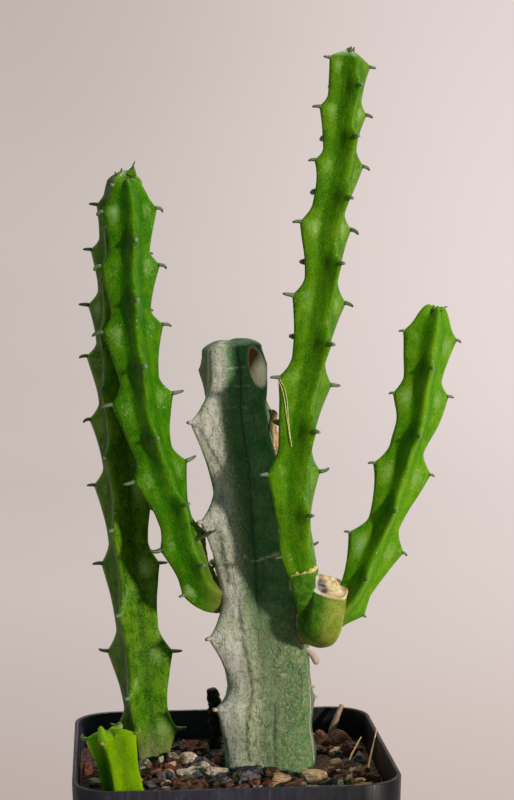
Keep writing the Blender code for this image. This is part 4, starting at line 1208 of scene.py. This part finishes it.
def add_branch_seat(bm):
    """The old base of the tall branch: a green stump with a ragged rim of callus, its skin painted dark green
    as shade.
    """
    shape = Shape(BRANCH_SEAT)
    distances, shares = ring_table(shape, FINE_RING_STEP, shape.length)

    def place(row, turn):
        distance = distances[row]
        angle = turn * 360 + BRANCH_SEAT.turn
        points = shape.surface(distance, angle, shares[row])
        sideways = np.sin(np.radians(angle))
        ragged = rough(points, 0.7, 4.0)
        callus = gauss((distance - 0.3) / (0.9 + 0.4 * np.clip(sideways, 0, 1) + 0.6 * ragged))
        slant = SEAT_SLANT * shape.radius(distance, angle) * sideways
        rise = slant * ramp(distance, 4, 0) + 1.0 * callus * ragged
        points = points + shape.outward(distance, angle) * (0.3 * callus * (0.4 + ragged))[:, None]
        points = points + shape.frame(distance)[0] * rise[:, None]
        # The whole seat gets the groove mask: painted shade
        return points, points, {"crack": callus, "groove": np.ones_like(distance)}
    wrap_grid(bm, SEAT_SIDES, len(distances) - 1, place)


def make_cut_branch(material):
    """The cut branch: its skin starts at the sloping cut, which is its dried face."""
    shape = Shape(CUT_BRANCH)
    normal = unit(np.array(CUT_NORMAL))
    point = np.array(CUT_POINT)
    fine = np.linspace(0, CUT_REACH, CUT_SAMPLES)
    starts = []
    for side in range(CUT_SIDES):
        over = (shape.surface(fine, np.full_like(fine, side / CUT_SIDES * 360)) - point) @ normal
        starts.append(fine[np.argmax(over < 0)])

    def place(row, turn):
        angle = turn * 360
        turned = (angle + 180) % 360 - 180
        first = np.array(starts)[np.round(turn * CUT_SIDES).astype(int) % CUT_SIDES]
        along = np.clip((row - CUT_RINGS) / SKIN_RINGS, 0, 1)
        distance = first + (shape.length - first) * along
        rim = shape.surface(distance, angle)
        share = np.clip(row / CUT_RINGS, 0, 1)
        centre = shape.centre(np.full_like(distance, CUT_MIDDLE))
        centre = centre - normal * ((centre - point) @ normal)[:, None]
        on_face = row <= CUT_RINGS
        points = np.where(on_face[:, None], centre + (rim - centre) * share[:, None], rim)
        foot = shape.centre(np.full_like(distance, shape.length))
        points = np.where((row > CUT_RINGS + SKIN_RINGS)[:, None], foot, points)
        rippled = 0.22 * rough(points, 1.3, 2.0) * np.sin(math.pi * share)
        sunk = -0.45 * (1 - share) + 0.2 * gauss((share - 0.92) / 0.08) + rippled
        points = points + normal * np.where(on_face, sunk, 0.0)[:, None]
        right, back = (points - centre)[:, 0], (points - centre)[:, 1]
        bruise = np.clip(1.5 * gauss(np.hypot((right + 1.6) / 1.25, (back + 0.3) / 3.6)), 0, 1)
        height = np.full_like(distance, FAR)
        low = along > 0.4
        height[low] = MAIN_SHAPE.height_over(points[low])
        masks = {
            # The groove mask here is painted shade: the side turned from the sun made darker green
            "groove": np.where(on_face, 0.0, np.clip(gauss((turned + 62) / 48) * 1.5, 0, 1)),
            "scar": np.where(on_face, 1.0, 0.0),
            "leaf": np.where(on_face, share, 0.0),
            "stain": np.where(on_face, bruise, 0.0),
            "pale": np.where(on_face, np.clip(1.3 * gauss((right + 3.3) / 0.9), 0, 1), 0.0),
            "joint": np.clip(gauss(height / 1.1) * 1.1, 0, 1),
        }
        wobble = np.where(on_face, 0.0, 0.12 * rough(points, 3.0))
        ragged = 0.4 * masks["joint"] * (0.6 + 0.8 * rough(points, 0.8, 5.0))
        points = points + shape.outward(distance, angle) * (wobble + ragged)[:, None]
        return points, unrolled(shape.radius(distance, angle) * share, np.radians(angle), distance), masks

    bm = new_bmesh()
    wrap_grid(bm, CUT_SIDES, CUT_RINGS + SKIN_RINGS + 1, place)
    add_branch_seat(bm)
    add_piece("cut_branch_skin", bm, [material], ["cut_branch"])


def raise_walls(stations):
    """Extrude a square with rounded corners through (half width, height) stations, closed at the end."""
    half_width, height = stations[0]
    bm = new_bmesh()
    bmesh.ops.create_grid(bm, x_segments=1, y_segments=1, size=half_width * MM)
    radius = RIM_CORNER_RADIUS * half_width / (RIM_WIDTH / 2) * MM
    bmesh.ops.bevel(bm, geom=bm.verts[:], offset=radius, segments=CORNER_SEGMENTS, profile=0.5,
                    affect="VERTICES", material=-1)
    bmesh.ops.translate(bm, verts=bm.verts[:], vec=(0, 0, height * MM))
    bm.faces.ensure_lookup_table()
    face = bm.faces[0]
    for index, (next_half_width, next_height) in enumerate(stations[1:]):
        grown = bmesh.ops.extrude_face_region(bm, geom=[face])["geom"]
        if index:
            bmesh.ops.delete(bm, geom=[face], context="FACES_ONLY")
        face = next(item for item in grown if isinstance(item, bmesh.types.BMFace))
        scale = next_half_width / half_width
        for vert in face.verts:
            vert.co = (vert.co.x * scale, vert.co.y * scale, next_height * MM)
        half_width = next_half_width
    return bm


def cut_away(bm, cutter_bm):
    """A bmesh less another, by one Boolean modifier."""
    item = plain_object("uncut", bm)
    cutter = plain_object("cutter", cutter_bm)
    modifier = item.modifiers.new("cut", "BOOLEAN")
    modifier.operation = "DIFFERENCE"
    modifier.solver = "MANIFOLD"
    modifier.object = cutter
    bpy.context.view_layer.update()
    graph = bpy.context.evaluated_depsgraph_get()
    result = new_bmesh()
    result.from_mesh(item.evaluated_get(graph).to_mesh())
    for used in (item, cutter):
        bpy.data.objects.remove(used, do_unlink=True)
    return result


def make_pot(material):
    """The pot's walls, floor, rim band and rounded lip, with four drain holes."""
    band_foot = POT_HEIGHT - BAND_HEIGHT
    band_half, body_half, base_half = BAND_FOOT_WIDTH / 2, BODY_TOP_WIDTH / 2, BASE_WIDTH / 2
    bends = [math.pi * step / LIP_STEPS for step in range(LIP_STEPS + 1)]
    lip = [(RIM_WIDTH / 2 - WALL / 2 * (1 - math.cos(bend)), POT_HEIGHT - LIP_ROUND * (1 - math.sin(bend)))
           for bend in bends]
    stations = [
        (base_half - 0.5, 0.0),
        (base_half, 0.5),
        (body_half - 0.1, band_foot - 0.6),
        (body_half, band_foot - 0.1),
        (band_half - 0.3, band_foot),
        (band_half, band_foot + 0.3),
        *lip,
        (band_half - WALL, band_foot + WALL + 0.4),
        (band_half - WALL - 0.4, band_foot + WALL),
        (body_half - WALL, band_foot + WALL),
        (base_half - WALL, FLOOR + 0.4),
        (base_half - WALL - 0.4, FLOOR),
    ]
    holes = bmesh.new()
    for x_side in (-1, 1):
        for y_side in (-1, 1):
            middle = Vector((x_side * DRAIN_OFFSET, y_side * DRAIN_OFFSET, FLOOR / 2)) * MM
            bmesh.ops.create_cone(holes, cap_ends=True, segments=DRAIN_SIDES, radius1=DRAIN_RADIUS * MM,
                                  radius2=DRAIN_RADIUS * MM, depth=DRAIN_CUT * MM,
                                  matrix=Matrix.Translation(middle))
    bm = cut_away(raise_walls(stations), holes)
    add_piece("pot_shell", bm, [material], ["pot"], sharp=30)


def soil_height(x, y):
    """Height of the soil: level, mounded round the main stem, and lumpy."""
    away = math.hypot(x - MOUND_CENTRE[0], y - MOUND_CENTRE[1]) / MOUND_SPREAD
    lumps = noise.noise(Vector((x * LUMP_FREQUENCY, y * LUMP_FREQUENCY, SEED)))
    return SOIL_LEVEL + MOUND_HEIGHT * math.exp(-away * away) + LUMP_HEIGHT * lumps


def make_soil_bed(material):
    """The filled shape of the pot's inside, with a gritty top."""
    ledge = POT_HEIGHT - BAND_HEIGHT + WALL + 0.3
    band_half = BAND_FOOT_WIDTH / 2 - WALL - 0.1
    stations = (
        (BASE_WIDTH / 2 - WALL - SOIL_SIDE_GAP, FLOOR + 0.3),
        (BODY_TOP_WIDTH / 2 - WALL - SOIL_SIDE_GAP, ledge),
        (band_half, ledge),
        (band_half, SOIL_BLOCK_TOP),
    )
    air = new_bmesh()
    bmesh.ops.create_grid(air, x_segments=TERRAIN_CELLS, y_segments=TERRAIN_CELLS, size=RIM_WIDTH / 2 * MM)
    for vert in air.verts:
        x, y = vert.co.x / MM, vert.co.y / MM
        grit = noise.noise(Vector((x, y, 0)) * GRIT_FREQUENCY)
        vert.co.z = (soil_height(x, y) + GRIT_HEIGHT * grit) * MM
    for item in bmesh.ops.extrude_face_region(air, geom=air.faces[:])["geom"]:
        if isinstance(item, bmesh.types.BMVert):
            item.co.z = AIR_TOP * MM
    bm = cut_away(raise_walls(stations), air)
    add_piece("soil_bed", bm, [material], ["soil"], sharp=60)


def scattered_chips():
    """Chips at random places, clear of the stems, the pot's wall and its corners."""
    chance = random.Random(SEED)
    chips = []
    while len(chips) < SCATTERED_CHIPS:
        x = chance.uniform(-CHIP_REACH, CHIP_REACH)
        y = chance.uniform(-CHIP_REACH, CHIP_REACH)
        length = chance.uniform(*CHIP_LENGTHS)
        in_corner = abs(x) > CHIP_CORNER and abs(y) > CHIP_CORNER
        crowded = any(math.hypot(x - px, y - py) < clear + length / 2 for px, py, clear in CLEARINGS)
        if in_corner or crowded:
            continue
        width = length * chance.uniform(*CHIP_WIDTH_SHARES)
        height = chance.uniform(*CHIP_HEIGHTS)
        turn = chance.uniform(0, 180)
        lump = chance.random() < LUMP_SHARE
        kind = CHIP_KINDS[len(chips) % len(CHIP_KINDS)]
        chips.append(Chip(x, y, length, width, height, turn, lump, kind))
    return chips


def rotation(degrees, axis, size=4):
    """A matrix that turns by degrees round an axis."""
    return Matrix.Rotation(math.radians(degrees), size, axis)


def add_chip(bm, chip, fineness):
    """One chip: a rounded stone or a torn block, uneven all over, sunk by half in the soil."""
    made = bmesh.ops.create_icosphere(bm, subdivisions=fineness, radius=0.5)["verts"]
    offset = Vector([draw.uniform(0, 90) for _ in range(3)])
    dry = draw.uniform(0, 1)
    straight = bm.verts.layers.float_vector[STRAIGHT]
    layer = bm.verts.layers.float["dry"]
    size = Vector((chip.length, chip.width, chip.height))
    tilt = rotation(draw.uniform(-CHIP_TILT, CHIP_TILT), "X", 3)
    tilt = tilt @ rotation(draw.uniform(-CHIP_TILT, CHIP_TILT) / 2, "Y", 3)
    turn = rotation(chip.turn, "Z", 3)
    base = Vector((chip.x, chip.y, soil_height(chip.x, chip.y) + chip.height * CHIP_LIFT))
    corners = LUMP_CURVE if chip.lump else BLOCK_CURVE
    for vert in made:
        spot = vert.co * (0.5 / sum(abs(axis) ** corners for axis in vert.co) ** (1 / corners))
        rock = noise.noise(spot * 1.6 + offset)
        crumbs = noise.noise(spot * 6.0 + offset)
        layers = noise.noise(Vector((spot.x * 1.5, spot.y * 9, spot.z * 9)) + offset)
        if chip.lump:
            spot *= 1 + 0.35 * rock + 0.07 * crumbs
        else:
            spot *= 1 + 0.28 * rock + (0.2 * layers + 0.06 * crumbs)
        place = spot * size
        vert[straight] = place + offset
        vert[layer] = dry
        vert.co = (base + turn @ tilt @ place) * MM
        for face in vert.link_faces:
            face.smooth = chip.lump


def make_chips(materials):
    """Chips and grit of each kind as one piece a kind."""
    chips = [Chip(*row) for row in SHOWN_CHIPS] + scattered_chips()
    for kind, material in sorted(materials.items()):
        bm = new_bmesh()
        for chip in chips:
            if chip.kind == kind:
                add_chip(bm, chip, CHIP_FINENESS)
        for _ in range(GRIT_STONES // len(materials)):
            x, y = draw.uniform(-GRIT_REACH, GRIT_REACH), draw.uniform(-GRIT_REACH, GRIT_REACH)
            width = draw.uniform(*GRIT_SIZES)
            if abs(x) > GRIT_CORNER and abs(y) > GRIT_CORNER:
                continue
            length = width * draw.uniform(*GRIT_LENGTH_SHARES)
            height = width * draw.uniform(*GRIT_HEIGHT_SHARES)
            grain = Chip(x, y, length, width, height, draw.uniform(0, 180), True, kind)
            add_chip(bm, grain, GRIT_FINENESS)
        add_piece(kind + "_chips", bm, [material])


def stick_surface(stick, rings, offset, knobs):
    """The place function of a tapering stick through points with radii."""
    curve, along = smooth_path([point for point, _ in stick])
    radii = [radius for _, radius in stick]
    marks = np.linspace(0, along[-1], len(radii))
    distances = np.concatenate([[0.0], np.linspace(0, along[-1], rings - 1), [along[-1]]])
    shares = np.concatenate([[0.0], np.ones(rings - 1), [0.0]])

    def place(row, turn):
        distance = distances[row]
        centre = along_curve(curve, along, distance)
        ahead = along_curve(curve, along, distance + STICK_DIRECTION_REACH)
        behind = along_curve(curve, along, distance - STICK_DIRECTION_REACH)
        direction = unit(ahead - behind)
        side = unit(np.cross(direction, np.array([0.0, 1.0, 0.0])))
        other = np.cross(direction, side)
        radius = np.interp(distance, marks, radii) * shares[row]
        heading = turn * 2 * math.pi
        ring = side * np.cos(heading)[:, None] + other * np.sin(heading)[:, None]
        bark = 1 + knobs * rough(centre + ring * radius[:, None] * 2, 1.1, offset)
        points = centre + ring * (radius * bark)[:, None]
        return points, unrolled(radius, heading, distance), {}
    return place


def make_stick(name, stick, material, sides=12, rings=STICK_RINGS, knobs=0.22, replaced=None):
    """A stick or a straw as a piece; it takes the place of the solid of its name."""
    bm = new_bmesh()
    wrap_grid(bm, sides, rings, stick_surface(stick, rings, len(name), knobs))
    add_piece(name + "_piece", bm, [material], [name] if replaced is None else replaced)


def make_thread(material):
    """A stray pale thread caught on a tooth of the tall branch, its two strands down its face."""
    shape = Shape(TALL_BRANCH)
    for strand, aside in (("first", 0.0), ("second", THREAD_SPREAD)):
        stick = []
        for index, (distance, angle) in enumerate(THREAD_ROUTE):
            spread = aside * math.sin(math.pi * index / (len(THREAD_ROUTE) - 1))
            spot = np.array([float(distance)]), np.array([angle + spread])
            point = shape.surface(*spot)[0] + shape.outward(*spot)[0] * THREAD_LIFT
            stick.append((point, THREAD_RADIUS))
        make_stick("thread_" + strand, stick, material, 6, THREAD_RINGS, 0.1, ())


def make_husk(material):
    """A curled dry scrap that lies along an angle of the main stem."""
    bm = new_bmesh()
    made = bmesh.ops.create_grid(bm, x_segments=HUSK_COLUMNS, y_segments=HUSK_ROWS, size=0.5)["verts"]
    straight = bm.verts.layers.float_vector[STRAIGHT]
    for vert in made:
        side, share = vert.co.x, 0.5 - vert.co.y
        distance = np.array([HUSK_TOP + (HUSK_FOOT - HUSK_TOP) * share])
        heading = np.array([HUSK_ANGLE + HUSK_TURN * share])
        swell = math.sin(math.pi * share ** 0.6) ** 0.8
        width = HUSK_WIDTH * (HUSK_END_SHARE + (1 - HUSK_END_SHARE) * swell)
        outward = MAIN_SHAPE.outward(distance, heading)[0]
        across = np.cross(MAIN_SHAPE.frame(distance)[0][0], outward)
        curl = HUSK_CURL + HUSK_TOP_CURL * math.exp(-share * 4)
        lift = (HUSK_CLEARANCE + HUSK_CUP * side * side * curl * width / HUSK_WIDTH
                + HUSK_WAVE * math.sin(15 * share))
        point = MAIN_SHAPE.surface(distance, heading)[0] + across * (side * width) + outward * lift
        vert[straight] = (side * width, lift, distance[0])
        vert.co = Vector(point) * MM
    bmesh.ops.solidify(bm, geom=bm.faces[:], thickness=HUSK_THICKNESS * MM)
    for face in bm.faces:
        face.smooth = True
    add_piece("dry_husk_piece", bm, [material], ["dry_husk"])


def pale_wall(name):
    """Backdrop: it glows by itself, brighter to the right and a little darker up the wall."""
    wall = Finish(name, Specular_IOR_Level=0.0, Roughness=0.9, Emission_Strength=STAGE_GLOW)
    spot = wall.place()
    right, back, up = (wall.axis(spot, axis) for axis in "XYZ")
    grain = wall.cloud(spot, 3.0, 3.0)
    glow = wall.mix(wall.remap(right, -0.15, 0.5), (191, 179, 175), (225, 211, 209))
    glow = wall.mix(wall.remap(grain, 0.3, 0.7, 0.0, 0.06), glow, (224, 214, 212))
    floor = wall.mix(wall.remap(right, -0.08, 0.08), (216, 205, 201), (232, 221, 216))
    near = wall.mix(wall.remap(back, -0.25, 0.7), floor, (255, 255, 255))
    glow = wall.mix(1.0, glow, near, "MULTIPLY")
    high = wall.mix(wall.remap(up, 0.0, 0.6), glow, wall.mix(0.17, glow, BLACK))
    wall.link(high, wall.shader["Emission Color"])
    wall.link(wall.mix(0.8, glow, BLACK), wall.shader["Base Color"])
    return wall.material


def make_stage():
    """A pale floor that curves up into a wall far behind."""
    profile = [(-STAGE_HALF_WIDTH, 0.0)]
    for step in range(SWEEP_STEPS + 1):
        bend = math.pi / 2 * step / SWEEP_STEPS
        profile.append((SWEEP_START + SWEEP_RADIUS * math.sin(bend), SWEEP_RADIUS * (1 - math.cos(bend))))
    profile.append((SWEEP_START + SWEEP_RADIUS, STAGE_TOP))
    last = len(profile) - 1
    bm = bmesh.new()
    for vert in bmesh.ops.create_grid(bm, x_segments=1, y_segments=last, size=0.5)["verts"]:
        vert.co = (vert.co.x * 2 * STAGE_HALF_WIDTH, *profile[round((vert.co.y + 0.5) * last)])
    item = plain_object("studio_sweep", bm)
    item.data.shade_smooth()
    item.data.materials.append(pale_wall("pale_wall"))


def make_light():
    """A low sun from the right, a soft light from above and behind, and a dim green sky."""
    sun = bpy.data.lights.new("low_sun", "SUN")
    sun.energy = SUN_STRENGTH
    sun.angle = math.radians(SUN_ANGLE)
    sun.color = SUN_COLOUR
    place_object("low_sun", sun, rotation(SUN_AZIMUTH, "Z") @ rotation(90 - SUN_HEIGHT, "X"))
    soft = bpy.data.lights.new("top_light", "AREA")
    soft.energy = TOP_LIGHT_POWER
    soft.size = TOP_LIGHT_SIZE
    soft.color = TOP_LIGHT_COLOUR
    aim = (Vector((0, 0, SOIL_LEVEL * MM)) - Vector(TOP_LIGHT_PLACE)).to_track_quat("-Z", "Y")
    place_object("top_light", soft, Matrix.Translation(TOP_LIGHT_PLACE) @ aim.to_matrix().to_4x4())
    world = bpy.data.worlds.new("soft_sky")
    world.use_nodes = True
    sky = Nodes(world.node_tree)
    seen = sky.add("LightPath").outputs["Is Camera Ray"]
    tone = sky.mix(seen, (*SHADE_COLOUR, 1.0), (*BACKDROP_COLOUR, 1.0))
    sky.link(tone, sky.tree.nodes["Background"].inputs["Color"])
    bpy.context.scene.world = world


def make_camera():
    """The camera, as it was fitted to the pot's rim."""
    camera = bpy.data.cameras.new("camera")
    camera.lens = LENS
    camera.sensor_width = SENSOR
    camera.clip_start = 0.01
    camera.clip_end = 50
    turned = rotation(CAMERA_YAW, "Z") @ rotation(90 + CAMERA_PITCH, "X") @ rotation(CAMERA_ROLL, "Z")
    place = Matrix.Translation(Vector(CAMERA_PLACE) * MM) @ turned
    bpy.context.scene.camera = place_object("camera", camera, place)
    bpy.context.scene.view_settings.view_transform = "Standard"


MAIN_SHAPE = Shape(MAIN_STEM)
CUT_SHAPE = Shape(CUT_BRANCH)

tooth_leaf = leaf_horn("tooth_leaf", (54, 80, 32), (146, 156, 124))
cork_tip = leaf_horn("cork_tip", (180, 152, 138), (202, 180, 166))
sprout_leaf = leaf_horn("sprout_leaf", (112, 142, 30), (150, 168, 96))
tall_green = green_skin("tall_green", (42, 98, 4), (76, 128, 9), (112, 148, 18), wax=(144, 174, 66))
right_green = green_skin("right_green", (54, 122, 4), (86, 142, 8), (126, 162, 28))
left_green = green_skin("left_green", (24, 96, 1), (54, 108, 4), (98, 142, 14), bloom=0.4)
rear_green = green_skin("rear_green", (15, 64, 1), (68, 118, 11), (120, 154, 34), bloom=0.5, gloss=0.36)
sprout_green = green_skin("sprout_green", (84, 124, 1), (114, 148, 1), (142, 172, 5), bloom=0.1,
                          gloss=0.36, glow=0.8, depth=0.006)

make_stem(MAIN_STEM, [old_skin("old_stem"), cork_tip], (0.2, 1.0), MAIN_STEM_HORNS,
          sides=160, extra=main_details, peak=0.2, thickness=1.6)
make_cut_branch(cut_skin("cut_stump"))
make_stem(TALL_BRANCH, [tall_green, tooth_leaf], (0.0, 0.3), TALL_BRANCH_HORNS,
          end_height=TALL_BRANCH_END, cone=0.6, lean=0.22, peak=0.0)
make_stem(RIGHT_BRANCH, [right_green, tooth_leaf], (0.0, 0.35), RIGHT_BRANCH_HORNS,
          parents=[CUT_SHAPE], cone=0.2)
make_stem(LEFT_BRANCH, [left_green, tooth_leaf], (0.0, 0.35), LEFT_BRANCH_HORNS,
          parents=[MAIN_SHAPE], cone=0.2, peak=0.15)
make_stem(REAR_STEM, [rear_green, tooth_leaf], (0.0, 0.3), REAR_STEM_HORNS,
          extra=rear_foot, cone=0.3, lean=-0.3, peak=0.0)
make_stem(FRONT_SPROUT, [sprout_green, sprout_leaf], (0.0, 0.7), FRONT_SPROUT_HORNS,
          step=FINE_RING_STEP)

make_pot(pot_plastic("nursery_pot"))
make_soil_bed(earth("dark_soil"))
make_chips({
    "bark": stone("torn_bark", (38, 22, 18), (158, 104, 78), 1.0, fibres=True),
    "fibre": stone("tan_fibre", (140, 92, 62), (250, 212, 166), 1.4, fibres=True),
    "lava": stone("red_lava", (84, 38, 30), (170, 98, 80), 1.4),
    "pumice": stone("pumice", (150, 124, 106), (246, 224, 202), 1.2, depth=0.35),
    "slate": stone("slate_flake", (34, 30, 34), (128, 116, 120), 0.9, depth=0.25),
})
# The straw glows: painted light, as if the sun lit it
straw = dry_matter("pale_straw_painted_glow", (196, 146, 96), (236, 204, 160), 0.32)
make_stick("long_straw", LONG_STRAW, straw)
make_stick("short_straw", SHORT_STRAW, straw)
make_stick("wood_sliver", WOOD_SLIVER, dry_matter("grey_wood", (120, 90, 76), (176, 142, 124)))
make_stick("withered_twig", WITHERED_TWIG, dry_matter("dark_twig", (20, 17, 16), (50, 42, 38)),
           sides=16, knobs=0.6)
make_thread(dry_matter("pale_thread", (206, 196, 120), (244, 236, 176)))
make_husk(dry_matter("papery_husk", (116, 76, 48), (232, 190, 140)))

make_stage()
make_light()
make_camera()
